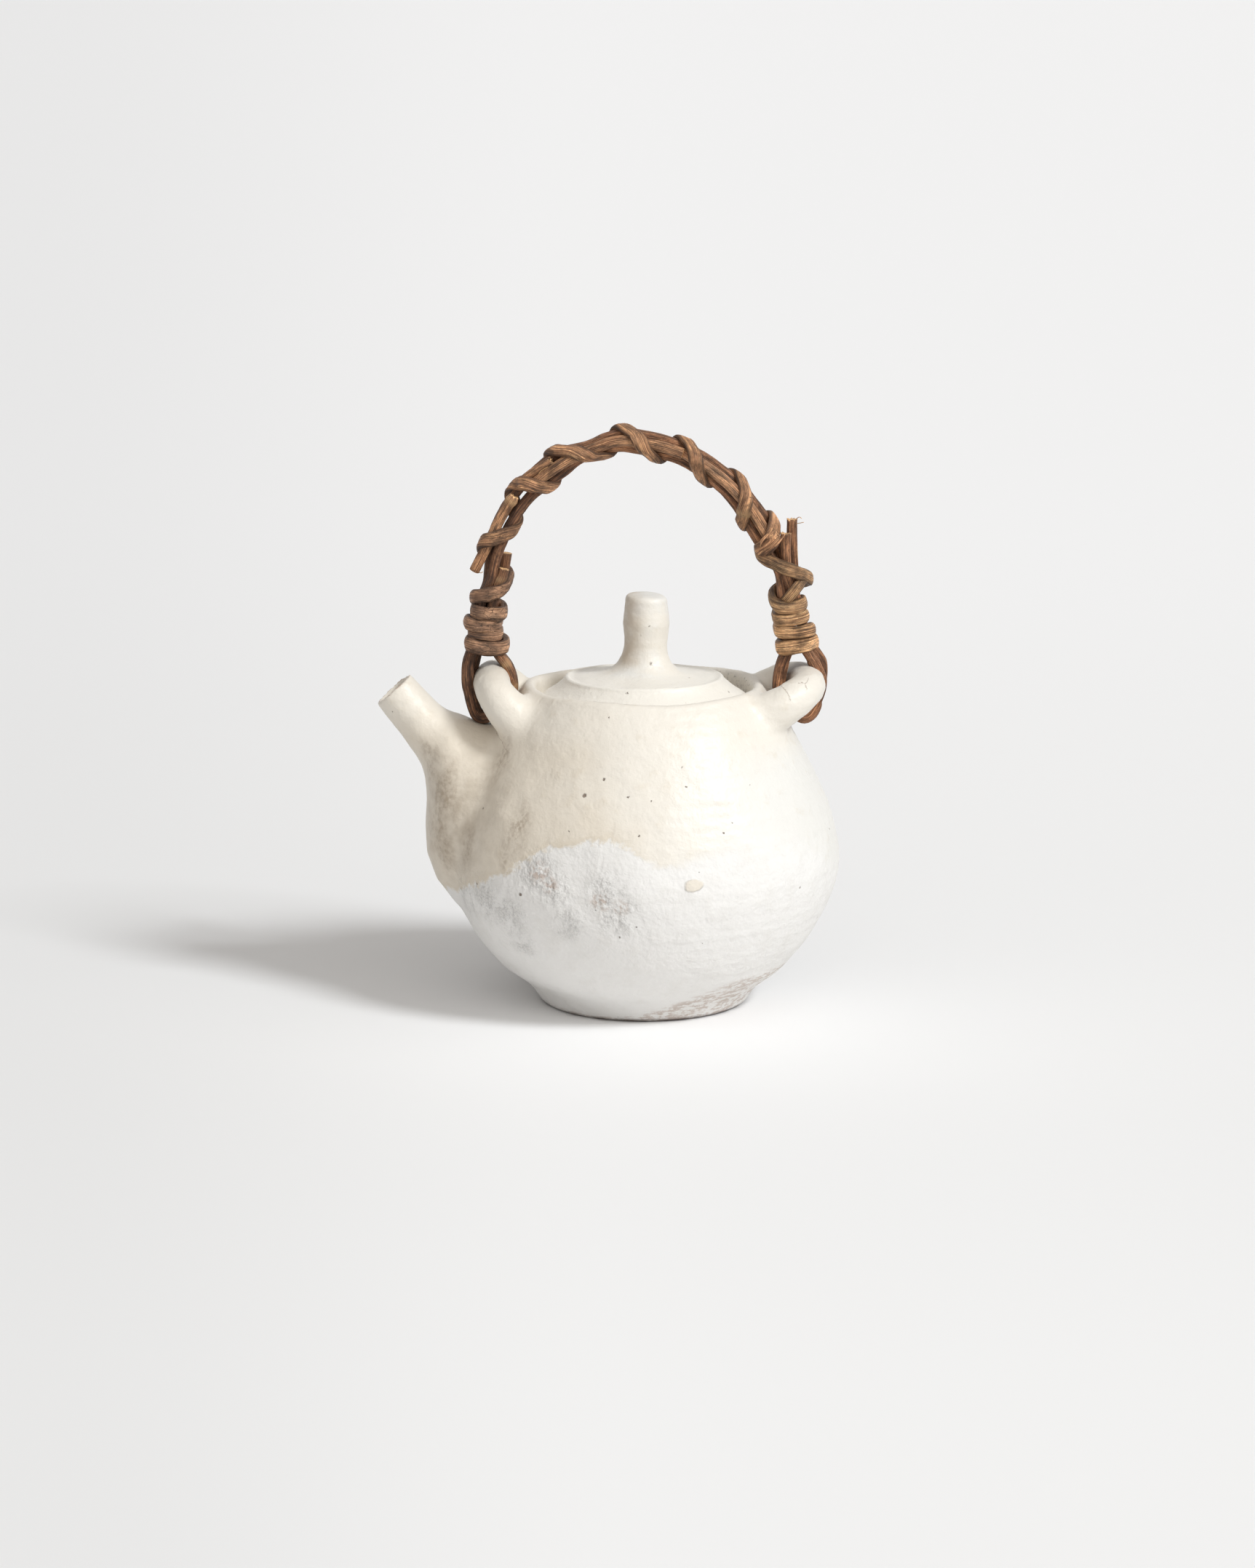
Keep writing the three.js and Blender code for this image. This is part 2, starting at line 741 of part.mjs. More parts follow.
function wrapWinding() {
  const angleAt = (turn) => -Math.PI / 2 - 2 * Math.PI * turn;
  const distanceAt = (turn) => wrapStart + wrapPitch * turn;
  const wound = relax(winding(arch, archNormal, wrapReach, distanceAt, angleAt, wrapTurns, wrapThickness));
  const root = wound.path[0];
  const radial = wound.radials[0];
  const tail = steps(1, 0, 4).slice(0, -1).map((share) => root.clone().add(new THREE.Vector3(
    -wrapTailOut * share,
    -wrapTailForward * Math.sin((share * Math.PI) / 2),
    -wrapTailLength * share,
  )));
  return {
    path: [...tail, ...wound.path],
    radials: [...tail.map(() => radial), ...wound.radials],
  };
}

const teapot = new THREE.Group();
const cutter = wallCutter();
teapot.add(
  makePotWall(),
  makeSpout(cutter),
  makeLug('spout_lug', lugs.spout, cutter),
  makeLug('rear_lug', lugs.rear, cutter),
  makeLidPlate(),
  makeKnob(),
  makeCane('core_cane_front', corePaths[0], 0x7a5236),
  makeCane('core_cane_back', corePaths[1], 0x6f4a30),
  makeCane('arch_cane', fillerPath, 0x86603f),
  makeWinding('wrap_cane', wrapWinding(), wrapWidth, wrapThickness, 0x835a3b),
  makeWinding('left_binding', bindingWinding(-1), leftBindingWidth, bindingThickness, 0x77553c),
  makeWinding('right_binding', bindingWinding(1), rightBindingWidth, bindingThickness, 0xa6794c),
);

export default teapot;
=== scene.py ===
# Stoneware teapot with a cane handle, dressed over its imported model.
# Metres, +Z up, spout towards -X; lengths in the settings are millimetres.
import math

import bmesh
import bpy
import numpy as np
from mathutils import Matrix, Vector, noise


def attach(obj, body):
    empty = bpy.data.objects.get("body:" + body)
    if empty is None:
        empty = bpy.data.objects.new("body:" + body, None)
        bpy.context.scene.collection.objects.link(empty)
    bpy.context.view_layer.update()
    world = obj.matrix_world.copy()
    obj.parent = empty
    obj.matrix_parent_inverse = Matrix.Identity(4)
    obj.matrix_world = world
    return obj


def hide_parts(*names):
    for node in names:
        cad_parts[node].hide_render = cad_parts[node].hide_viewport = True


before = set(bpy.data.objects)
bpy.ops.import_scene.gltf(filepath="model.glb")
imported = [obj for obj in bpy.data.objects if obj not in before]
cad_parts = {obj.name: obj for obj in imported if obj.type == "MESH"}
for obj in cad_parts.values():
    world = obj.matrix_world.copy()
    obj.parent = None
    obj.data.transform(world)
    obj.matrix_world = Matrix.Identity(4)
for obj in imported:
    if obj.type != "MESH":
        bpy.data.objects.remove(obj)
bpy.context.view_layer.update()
scene = bpy.context.scene
mm = 0.001
print("frame loaded")


# Camera, at the photograph's viewing angle

cameraSettings = {
    "location": (-0.00556, -1.4386, 0.3612),
    "tilt": 78.7,
    "lens": 100.18,
    "sensor": 36,
    "farthest": 60,
}

bpy.ops.object.camera_add(
    location=cameraSettings["location"],
    rotation=(math.radians(cameraSettings["tilt"]), 0, 0),
)
scene.camera = bpy.context.object
scene.camera.data.lens = cameraSettings["lens"]
scene.camera.data.sensor_width = cameraSettings["sensor"]
scene.camera.data.clip_end = cameraSettings["farthest"]
scene.view_settings.view_transform = "Standard"


# Helpers for modelling

def smoothStep(value, low, high):
    share = np.clip((np.asarray(value, float) - low) / (high - low), 0, 1)
    return share * share * (3 - 2 * share)


def named(name):
    piece = bpy.context.object
    piece.name = name
    piece.data.name = name
    return piece


def editAll(action="SELECT"):
    bpy.ops.object.mode_set(mode="EDIT")
    bpy.ops.mesh.select_all(action=action)


def leaveEdit():
    bpy.ops.object.mode_set(mode="OBJECT")


def onlySelect(*pieces):
    bpy.ops.object.select_all(action="DESELECT")
    for piece in pieces:
        piece.select_set(True)
    bpy.context.view_layer.objects.active = pieces[0]


def settle(piece):
    onlySelect(piece)
    bpy.ops.object.transform_apply(location=True, rotation=True, scale=True)


def applyModifier(piece, kind, **values):
    onlySelect(piece)
    bpy.ops.object.modifier_add(type=kind)
    modifier = piece.modifiers[-1]
    for key, value in values.items():
        setattr(modifier, key, value)
    bpy.ops.object.modifier_apply(modifier=modifier.name)


# A profile drawn point by point, then spun about the upright axis
def spinProfile(name, profile, steps):
    bpy.ops.object.select_all(action="DESELECT")
    radius, height = profile[0]
    bpy.ops.mesh.primitive_plane_add(size=mm, location=(radius * mm, 0, height * mm))
    piece = named(name)
    editAll()
    bpy.ops.mesh.merge(type="CENTER")
    for nextRadius, nextHeight in profile[1:]:
        step = ((nextRadius - radius) * mm, 0, (nextHeight - height) * mm)
        bpy.ops.mesh.extrude_region_move(TRANSFORM_OT_translate={"value": step})
        radius, height = nextRadius, nextHeight
    bpy.ops.mesh.select_all(action="SELECT")
    bpy.ops.mesh.spin(steps=steps, angle=2 * math.pi, center=(0, 0, 0), axis=(0, 0, 1))
    bpy.ops.mesh.select_all(action="SELECT")
    bpy.ops.mesh.remove_doubles(threshold=0.01 * mm)
    bpy.ops.mesh.normals_make_consistent(inside=False)
    leaveEdit()
    settle(piece)
    return piece


# Circles moved to rings of points, each bridged to the next
def bridgeRings(name, rings, closed=False):
    sides = len(rings[0])
    bpy.ops.object.select_all(action="DESELECT")
    bpy.ops.mesh.primitive_circle_add(vertices=sides, radius=mm)
    piece = named(name)
    editAll()
    for _ in rings[1:]:
        bpy.ops.mesh.primitive_circle_add(vertices=sides, radius=mm)
    sheet = bmesh.from_edit_mesh(piece.data)
    sheet.verts.ensure_lookup_table()
    for index, point in enumerate(point for ring in rings for point in ring):
        sheet.verts[index].co = Vector(point) * mm

    def selectRings(wanted):
        mesh = bmesh.from_edit_mesh(piece.data)
        mesh.verts.ensure_lookup_table()
        bpy.ops.mesh.select_all(action="DESELECT")
        for edge in mesh.edges:
            owners = {vert.index // sides for vert in edge.verts}
            if len(owners) == 1 and owners <= wanted:
                edge.select_set(True)
        bmesh.update_edit_mesh(piece.data)

    pairs = [(i, i + 1) for i in range(len(rings) - 1)]
    if closed:
        pairs.append((len(rings) - 1, 0))
    for pair in pairs:
        selectRings(set(pair))
        bpy.ops.mesh.bridge_edge_loops()
    if not closed:
        for end in (0, len(rings) - 1):
            selectRings({end})
            bpy.ops.mesh.edge_face_add()
    bpy.ops.mesh.select_all(action="SELECT")
    bpy.ops.mesh.normals_make_consistent(inside=False)
    leaveEdit()
    settle(piece)
    return piece


# Rounded path through points, as a draughtsman's spline
def spline(points, perSpan):
    points = [np.asarray(point, float) for point in points]
    points = [2 * points[0] - points[1]] + points + [2 * points[-1] - points[-2]]
    path = []
    for i in range(1, len(points) - 2):
        p0, p1, p2, p3 = points[i - 1:i + 3]
        d0, d1, d2 = (max(np.linalg.norm(b - a), 1e-6) ** 0.5 for a, b in ((p0, p1), (p1, p2), (p2, p3)))
        t1 = ((p1 - p0) / d0 - (p2 - p0) / (d0 + d1) + (p2 - p1) / d1) * d1
        t2 = ((p2 - p1) / d1 - (p3 - p1) / (d1 + d2) + (p3 - p2) / d2) * d1
        for t in np.arange(perSpan) / perSpan:
            path.append(p1 + t1 * t + (3 * (p2 - p1) - 2 * t1 - t2) * t * t + (2 * (p1 - p2) + t1 + t2) * t ** 3)
    path.append(points[-2])
    return np.array(path)


def coordsOf(piece, what="co"):
    values = np.empty(len(piece.data.vertices) * 3)
    piece.data.vertices.foreach_get(what, values)
    return values.reshape(-1, 3)


def setCoords(piece, values):
    piece.data.vertices.foreach_set("co", values.ravel())
    piece.data.update()


def edgesOf(piece):
    pairs = np.empty(len(piece.data.edges) * 2, int)
    piece.data.edges.foreach_get("vertices", pairs)
    return pairs.reshape(-1, 2)


def neighbourMean(values, pairs):
    total = np.zeros_like(values)
    count = np.zeros(len(values))
    for a, b in (pairs.T, pairs.T[::-1]):
        for axis in range(3):
            total[:, axis] += np.bincount(a, values[b, axis], len(values))
        count += np.bincount(a, minlength=len(values))
    return total / np.maximum(count, 1)[:, None]


# Clay pressed into the creases: hollow places fill a little each time
def fillCreases(piece, mask, rounds):
    pairs = edgesOf(piece)
    for _ in range(rounds):
        here = coordsOf(piece)
        pull = neighbourMean(here, pairs) - here
        hollow = np.einsum("ij,ij->i", pull, coordsOf(piece, "normal")) > 0
        setCoords(piece, here + pull * (0.6 * mask * hollow)[:, None])


# Noise in millimetres at each point, one value for each wave: (size, height)
def lumps(points, waves, seed):
    lift = np.zeros(len(points))
    for size, height in waves:
        shift = Vector((seed, seed * 1.7, size))
        lift += height * np.array([noise.noise(Vector(p) / (size * mm) + shift) for p in points])
    return lift


def throwingRings(heights, depth, spacing):
    return depth * np.sin(heights * 2 * math.pi / spacing)


def shadeSmooth(piece):
    onlySelect(piece)
    bpy.ops.object.shade_smooth()


# Helpers for materials: a value in a node tree, whose sums add nodes of their own

class Value:
    def __init__(self, tree, socket):
        self.tree, self.socket = tree, socket

    def maths(self, operation, other=0.0, clamp=False):
        return made(self.tree, "Math", {0: self, 1: other}, operation=operation, use_clamp=clamp)

    def vectorMaths(self, operation, inputs, output=0):
        return made(self.tree, "VectorMath", {0: self, **inputs}, output, operation=operation)

    def __add__(self, other):
        return self.maths("ADD", other)

    def __sub__(self, other):
        return self.maths("SUBTRACT", other)

    def __mul__(self, other):
        return self.maths("MULTIPLY", other)

    def __truediv__(self, other):
        return self.maths("DIVIDE", other)


def addNode(tree, kind, inputs, **props):
    node = tree.nodes.new("ShaderNode" + kind)
    for key, value in props.items():
        setattr(node, key, value)
    for key, value in inputs.items():
        if isinstance(value, Value):
            tree.links.new(value.socket, node.inputs[key])
        else:
            node.inputs[key].default_value = value
    return node


def made(tree, kind, inputs, output=0, **props):
    return Value(tree, addNode(tree, kind, inputs, **props).outputs[output])


def newMaterial(name):
    material = bpy.data.materials.new(name)
    material.use_nodes = True
    tree = material.node_tree
    tree.nodes.clear()
    shader = addNode(tree, "BsdfPrincipled", {})
    addNode(tree, "OutputMaterial", {"Surface": Value(tree, shader.outputs[0])})
    return material, tree, shader


def finishShader(shader, colour, rough, specular, relief, bumpHeight=mm):
    tree = colour.tree
    bump = made(tree, "Bump", {"Strength": 1.0, "Distance": bumpHeight, "Height": relief})
    for key, value in (("Base Color", colour), ("Roughness", rough), ("Normal", bump)):
        tree.links.new(value.socket, shader.inputs[key])
    shader.inputs["Specular IOR Level"].default_value = specular


def between(value, low, high, toLow=0.0, toHigh=1.0, kind="SMOOTHSTEP"):
    return made(value.tree, "MapRange", {
        "Value": value, "From Min": low, "From Max": high, "To Min": toLow, "To Max": toHigh,
    }, interpolation_type=kind)


def blendColour(share, a, b, kind="MIX"):
    a, b = (colour if isinstance(colour, Value) else (*colour, 1) for colour in (a, b))
    return made(share.tree, "Mix", {0: share, 6: a, 7: b}, 2, data_type="RGBA", blend_type=kind)


def grain(place, scale, detail=3.0, rough=0.55, distortion=0.0):
    return made(place.tree, "TexNoise", {
        "Vector": place, "Scale": scale, "Detail": detail, "Roughness": rough, "Distortion": distortion,
    }, "Fac")


def scaled(place, factors, shift=(0, 0, 0)):
    return made(place.tree, "Mapping", {"Vector": place, "Scale": factors, "Location": shift}, vector_type="POINT")


# Places on the object, in metres or in millimetres
def metres(tree):
    return made(tree, "TexCoord", {}, "Object")


def millimetres(tree):
    return scaled(metres(tree), (1000, 1000, 1000))


def axesOf(place):
    return [Value(place.tree, socket) for socket in addNode(place.tree, "SeparateXYZ", {0: place}).outputs]


def most(values):
    total = values[0]
    for value in values[1:]:
        total = total.maths("MAXIMUM", value)
    return total


# Soft spots in millimetres, each about a centre
def spot(place, centre, radius, soft):
    distance = place.vectorMaths("DISTANCE", {1: centre}, "Value")
    return between(distance, radius * (1 + soft), radius * (1 - soft))


def spots(place, rows, soft):
    return most([spot(place, row[:3], row[3], soft) for row in rows])


# Floor: pale paper with painted light, palest in front and a little darker behind, and painted shade darkening it to
# the left as the camera sees it

floorSettings = {
    "half": 24.0,
    "tint": (0.945, 0.945, 0.95),
    "behind": (0.97, 0.97, 0.98),
    "near": (0.98, 0.98, 0.985),
    "dusk": (0.91, 0.91, 0.91),
    "cameraAway": 1.45,
}


def floorMaterial():
    f = floorSettings
    material, tree, shader = newMaterial("palePaper")
    x, y, _ = axesOf(metres(tree))
    # Painted light: paler far behind than in the middle, and palest near the camera
    colour = blendColour(between(y, 0.05, 1.2), f["tint"], f["behind"])
    colour = blendColour(between(y, -0.1, -0.45), colour, f["near"])
    # Painted shade: darker to the left as the camera sees it
    ahead = (y + f["cameraAway"]).maths("MAXIMUM", 0.2)
    paintedLeftShade = between(x / ahead, 0.0, -0.15) * between(y, -1.1, -0.5)
    colour = blendColour(paintedLeftShade, colour, f["dusk"], "MULTIPLY")
    tree.links.new(colour.socket, shader.inputs["Base Color"])
    shader.inputs["Roughness"].default_value = 0.9
    shader.inputs["Specular IOR Level"].default_value = 0.1
    return material


bpy.ops.object.select_all(action="DESELECT")
bpy.ops.mesh.primitive_plane_add(size=2, location=(0, 0, 0))
floor = named("floor")
floor.scale = (floorSettings["half"],) * 3
settle(floor)
floor.data.materials.append(floorMaterial())


# Light: a key lamp from the right and in front, two broad soft fills, and a dim room.
# Camera, glossy and transmission rays see a pale backdrop in place of the room.

lightSettings = {
    "key": {"strength": 1.95, "angle": 15, "height": 41, "around": -37, "colour": (0.96, 0.985, 1.0)},
    "front": {"strength": 0.45, "angle": 90, "height": 22, "around": -58, "colour": (1.0, 0.98, 0.955)},
    "fill": {"strength": 1.30, "angle": 120, "height": 66, "around": -95, "colour": (1.0, 0.965, 0.92)},
    "roomColour": (1.0, 0.99, 0.975),
    "roomStrength": 0.08,
    "backdrop": (0.865, 0.865, 0.86),
}

for lampName in ("key", "front", "fill"):
    lamp = lightSettings[lampName]
    up, around = math.radians(lamp["height"]), math.radians(lamp["around"])
    towards = Vector((math.cos(up) * math.cos(around), math.cos(up) * math.sin(around), math.sin(up)))
    bpy.ops.object.light_add(type="SUN", location=towards, rotation=towards.to_track_quat("Z", "Y").to_euler())
    bpy.context.object.name = lampName
    bpy.context.object.data.energy = lamp["strength"]
    bpy.context.object.data.color = lamp["colour"]
    bpy.context.object.data.angle = math.radians(lamp["angle"])


def lightRoom():
    world = scene.world or bpy.data.worlds.new("room")
    scene.world = world
    world.use_nodes = True
    tree = world.node_tree
    tree.nodes.clear()
    rays = addNode(tree, "LightPath", {}).outputs
    seen = most([Value(tree, rays[name]) for name in ("Is Camera Ray", "Is Glossy Ray", "Is Transmission Ray")])
    room = made(tree, "Background", {
        "Color": (*lightSettings["roomColour"], 1), "Strength": lightSettings["roomStrength"],
    })
    backdrop = made(tree, "Background", {"Color": (*lightSettings["backdrop"], 1)})
    addNode(tree, "OutputWorld", {"Surface": made(tree, "MixShader", {0: seen, 1: room, 2: backdrop})})


lightRoom()
print("stage set")


# Pot body: thrown wall, spout and two lugs, luted together under one glaze

potSettings = {
    "outside": [
        (0, 0), (20, 0), (33.4, 0), (34.5, 0.25), (35.3, 1.3), (36.6, 3.2), (38.2, 5.6), (40.6, 8), (44, 10.2),
        (48.2, 13.3), (52.3, 18), (55, 21.2), (57.4, 24.6), (59.9, 29.2), (62.2, 34), (64, 39), (65.3, 44),
        (65.9, 49.6), (65.5, 54.4), (64.4, 59.6), (62.8, 64.8), (60.8, 70), (58.4, 75.2), (55.9, 80.4),
        (53.3, 85.4), (50.9, 90), (48.9, 94), (46.9, 97.6), (44.6, 101), (42.5, 103.9), (41, 106), (39.9, 107.5),
        (38.9, 108.4), (37.9, 108.6), (37, 108.2), (36.4, 107.2), (36.2, 105.6), (36.1, 102.6), (35.6, 101.8),
        (34, 101.7), (31, 101.7), (30.2, 101.3), (30, 100.4), (30, 98.6),
    ],
    "inside": [
        (32, 97), (43.4, 92.6), (47.6, 87), (50.6, 81), (54.6, 73), (58.2, 64), (60.6, 54), (60.8, 46),
        (58.6, 36), (55, 27), (50.6, 19), (46, 13), (40, 9), (32, 7.2), (0, 7),
    ],
    "footKnots": 2,
    "wallKnots": 32,
    "spinSteps": 112,
    "grain": 1.12,
    "creases": {"skin": (-2.5, -0.8), "low": (8, 14), "high": (107.2, 108), "rounds": 26},
    "smoothing": {"factor": 0.5, "iterations": 3},
    "strainerReach": 58.3,
    "strainerHeight": 70,
    "strainerRadius": 2.5,
    "strainerSpacing": 9,
    "strainerDrill": 20,
    "pressedIn": 2.2,
    "trimLow": 2,
    "trimHigh": 109.5,
    "trimRadius": 36,
}

spoutSettings = {
    "under": [(-50.8, 20), (-72.1, 46), (-73.6, 78)],
    "over": [(-46.0, 93.5), (-54.7, 94.8)],
    "tip": (-83.9, 106.3),
    "tipLean": 49.5,
    "tipRadius": 7.6,
    "neckLength": 16,
    "neckRadius": 8.6,
    "rootHalfWidth": 30,
    "taper": 1.5,
    "wall": 4,
    "lipWall": 1.9,
    "lipRings": [(0.3, 0.5), (0.75, 0.45)],
    "rings": 15,
    "sides": 48,
}

lugSettings = {
    "spoutReach": -51.0,
    "rearReach": 55.7,
    "rearSkew": 0.2,
    "skewFrom": -8,
    "footReach": (-40.1, 37.9),
    "footHeight": (96.6, 99.0),
    "height": 108.7,
    "halfSpan": 17,
    "squareness": (0.42, 0.5),
    "apexRadius": (6.3, 5.9),
    "footRadius": (8.3, 7.9),
    "sectionTilt": 0.4,
    "sides": 28,
    "rings": 22,
}


def makeSpoutTube():
    s = spoutSettings
    lean = math.radians(s["tipLean"])
    across = np.array([math.sin(lean), 0, math.cos(lean)])
    along = np.array([-math.cos(lean), 0, math.sin(lean)])
    tip = np.array([s["tip"][0], 0, s["tip"][1]])
    neck = tip - along * s["neckLength"]
    upright = lambda pair: np.array([pair[0], 0, pair[1]])
    crook = upright(s["over"][1])
    perSpan = 40
    under = spline([
        *map(upright, s["under"]), neck - across * s["neckRadius"], tip - across * s["tipRadius"],
    ], perSpan)
    over = spline([
        upright(s["over"][0]),
        crook,
        (crook + neck) / 2 + across * s["neckRadius"] / 2,
        neck + across * s["neckRadius"],
        tip + across * s["tipRadius"],
    ], perSpan)

    def ringAt(share, wall, forward=0.0):
        step = round(share * (len(under) - 1))
        low, high = under[step], over[step]
        centre, half = (low + high) / 2 + along * forward, (high - low) / 2
        length = np.linalg.norm(half)
        half = half * (length - wall) / length
        width = s["tipRadius"] + (s["rootHalfWidth"] - s["tipRadius"]) * (1 - share) ** s["taper"] - wall
        turns = np.linspace(0, 2 * math.pi, s["sides"], endpoint=False)
        return [centre + half * math.cos(turn) + np.array([0, width * math.sin(turn), 0]) for turn in turns]

    # Up the outside, over the rounded lip and down the inside
    shares = np.linspace(0, 1, s["rings"])
    wallAt = lambda share: s["wall"] + (s["lipWall"] - s["wall"]) * share
    rings = [ringAt(share, 0) for share in shares]
    rings += [ringAt(1, s["lipWall"] * inset, ahead) for inset, ahead in s["lipRings"]]
    rings += [ringAt(share, wallAt(share)) for share in shares[::-1]]
    return bridgeRings("spoutTube", rings, closed=True)


def makeLugRoll(name, side):
    s = lugSettings
    end = 0 if side < 0 else 1
    reach = s["spoutReach"] if side < 0 else s["rearReach"]
    turns = np.linspace(0, math.pi, s["rings"])
    climb = np.sin(turns) ** s["squareness"][end]
    path = np.array([
        (s["footReach"][end] + (reach - s["footReach"][end]) * c,
         -s["halfSpan"] * math.cos(turn),
         s["footHeight"][end] + (s["height"] - s["footHeight"][end]) * c)
        for turn, c in zip(turns, climb)
    ])
    if side > 0:
        path[:, 0] -= s["rearSkew"] * np.maximum(path[:, 1] - s["skewFrom"], 0) * climb
    rings = []
    for i, centre in enumerate(path):
        tangent = path[min(i + 1, len(path) - 1)] - path[max(i - 1, 0)]
        tangent /= np.linalg.norm(tangent)
        out = np.array([side, 0, s["sectionTilt"]])
        out -= tangent * out.dot(tangent)
        out /= np.linalg.norm(out)
        beside = np.cross(out, tangent)
        radius = s["footRadius"][end] + (s["apexRadius"][end] - s["footRadius"][end]) * climb[i]
        rings.append([
            centre + radius * (beside * math.cos(a) + out * math.sin(a))
            for a in np.linspace(0, 2 * math.pi, s["sides"], endpoint=False)
        ])
    return bridgeRings(name, rings)


def wallRadius(heights):
    table = np.array(potSettings["outside"][potSettings["footKnots"]:potSettings["wallKnots"]])
    return np.interp(heights, table[:, 1], table[:, 0])


def wallPoint(azimuth, height):
    angle, radius = math.radians(azimuth), float(wallRadius(height))
    return radius * math.cos(angle), radius * math.sin(angle), height


def cutWith(piece, cutter, operation="DIFFERENCE"):
    applyModifier(piece, "BOOLEAN", object=cutter, operation=operation, solver="EXACT")


def discard(*pieces):
    for piece in pieces:
        bpy.data.objects.remove(piece, do_unlink=True)


# The thrown wall, with its strainer holes drilled behind the spout
ps = potSettings
potBody = spinProfile("potBody", ps["outside"] + ps["inside"], ps["spinSteps"])
ring = [(0, 0)] + [
    (ps["strainerSpacing"] * math.cos(a), ps["strainerSpacing"] * math.sin(a))
    for a in np.linspace(0, 2 * math.pi, 6, endpoint=False)
]
for y, up in ring:
    bpy.ops.mesh.primitive_cylinder_add(
        vertices=20,
        radius=ps["strainerRadius"] * mm,
        depth=ps["strainerDrill"] * mm,
        location=(-ps["strainerReach"] * mm, y * mm, (ps["strainerHeight"] + up) * mm),
        rotation=(0, math.pi / 2, 0),
    )
    drill = named("drill")
    cutWith(potBody, drill)
    discard(drill)

# Spout and lugs are trimmed to the wall they sit on, then pressed into it
insideWall = [
    (0, ps["trimLow"]),
    *((max(r - ps["pressedIn"], 0), max(z, ps["trimLow"])) for r, z in ps["outside"][ps["footKnots"]:ps["wallKnots"]]),
    (ps["trimRadius"], ps["trimHigh"]),
    (0, ps["trimHigh"]),
]
trimmer = spinProfile("trimmer", insideWall, 72)
attached = [makeSpoutTube(), makeLugRoll("spoutLug", -1), makeLugRoll("rearLug", 1)]
for roll in attached:
    cutWith(roll, trimmer)
discard(trimmer)
onlySelect(potBody, *attached)
bpy.ops.object.join()
applyModifier(potBody, "REMESH", mode="VOXEL", voxel_size=ps["grain"] * mm)
print("pot remeshed:", len(potBody.data.vertices), "points")

creases = ps["creases"]
here = coordsOf(potBody) / mm
radii = np.hypot(here[:, 0], here[:, 1])
outside = smoothStep(radii - wallRadius(here[:, 2]), *creases["skin"]) * smoothStep(here[:, 2], *creases["low"])
outside *= 1 - smoothStep(here[:, 2], *creases["high"])
fillCreases(potBody, outside, creases["rounds"])
applyModifier(potBody, "SMOOTH", **ps["smoothing"])

# Finger marks and unevenness, kept off the foot so that the pot stands flat
sculptSettings = {
    "waves": [(46, 0.5), (19, 0.32), (7.5, 0.14), (3.4, 0.05)],
    "seed": 3.1,
    "throwingRings": (0.06, 3.7),
    "ringsFade": (-20, 25),
    "skin": (-3.2, -0.8),
    "raised": (0.6, 8),
    "rimFade": (100, 108),
    "rimReach": 48,
    "rimDrop": 0.25,
    "rimWobble": [(0.35, 2, 40), (0.3, 5, -70)],
    "dents": [
        (-113, 55, 15, -1.3), (-101, 47, 12, -0.9), (-128, 60, 8, -0.5), (-141, 70, 7, 0.7), (-137, 58, 6, -0.6),
        (-146, 62, 6, 0.5), (-134, 47, 8, 0.5), (-120, 44, 7, 0.4), (-92, 53, 9, 0.5), (-76, 52, 3.4, 0.55),
        (-128, 84, 7, -0.45), (-66, 88, 12, 0.35), (-44, 60, 16, 0.4), (128, 70, 18, -0.7), (70, 40, 20, 0.6),
        (30, 72, 15, -0.5), (160, 88, 9, 0.6), (100, 92, 14, -0.45),
    ],
}


def sculptPot(piece):
    s = sculptSettings
    here = coordsOf(piece) / mm
    out = coordsOf(piece, "normal")
    radii = np.hypot(here[:, 0], here[:, 1])
    around = np.degrees(np.arctan2(here[:, 1], here[:, 0]))
    outer = smoothStep(radii - wallRadius(here[:, 2]), *s["skin"])
    raised = smoothStep(here[:, 2], *s["raised"])
    lift = lumps(here * mm, s["waves"], s["seed"])
    lift += throwingRings(here[:, 2], *s["throwingRings"]) * (0.25 + 0.75 * smoothStep(here[:, 0], *s["ringsFade"]))
    for azimuth, height, size, depth in s["dents"]:
        distance = np.linalg.norm(here - np.array(wallPoint(azimuth, height)), axis=1) / size
        lift += depth * np.exp(-distance ** 2 * 1.4) * outer
    moved = here + out * (lift * raised * (0.35 + 0.65 * outer))[:, None]
    top = smoothStep(here[:, 2], *s["rimFade"]) * (radii < s["rimReach"])
    wobble = sum(height * np.sin(np.radians(around * waves + turn)) for height, waves, turn in s["rimWobble"])
    moved[:, 2] += top * (wobble - s["rimDrop"])
    moved[:, 2] = np.where(here[:, 2] < 0.05, 0, moved[:, 2])
    setCoords(piece, moved * mm)


sculptPot(potBody)
shadeSmooth(potBody)
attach(potBody, "pot")
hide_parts("pot_wall", "spout", "spout_lug", "rear_lug")
print("pot body sculpted")


# Lid with its knob, thrown as one piece

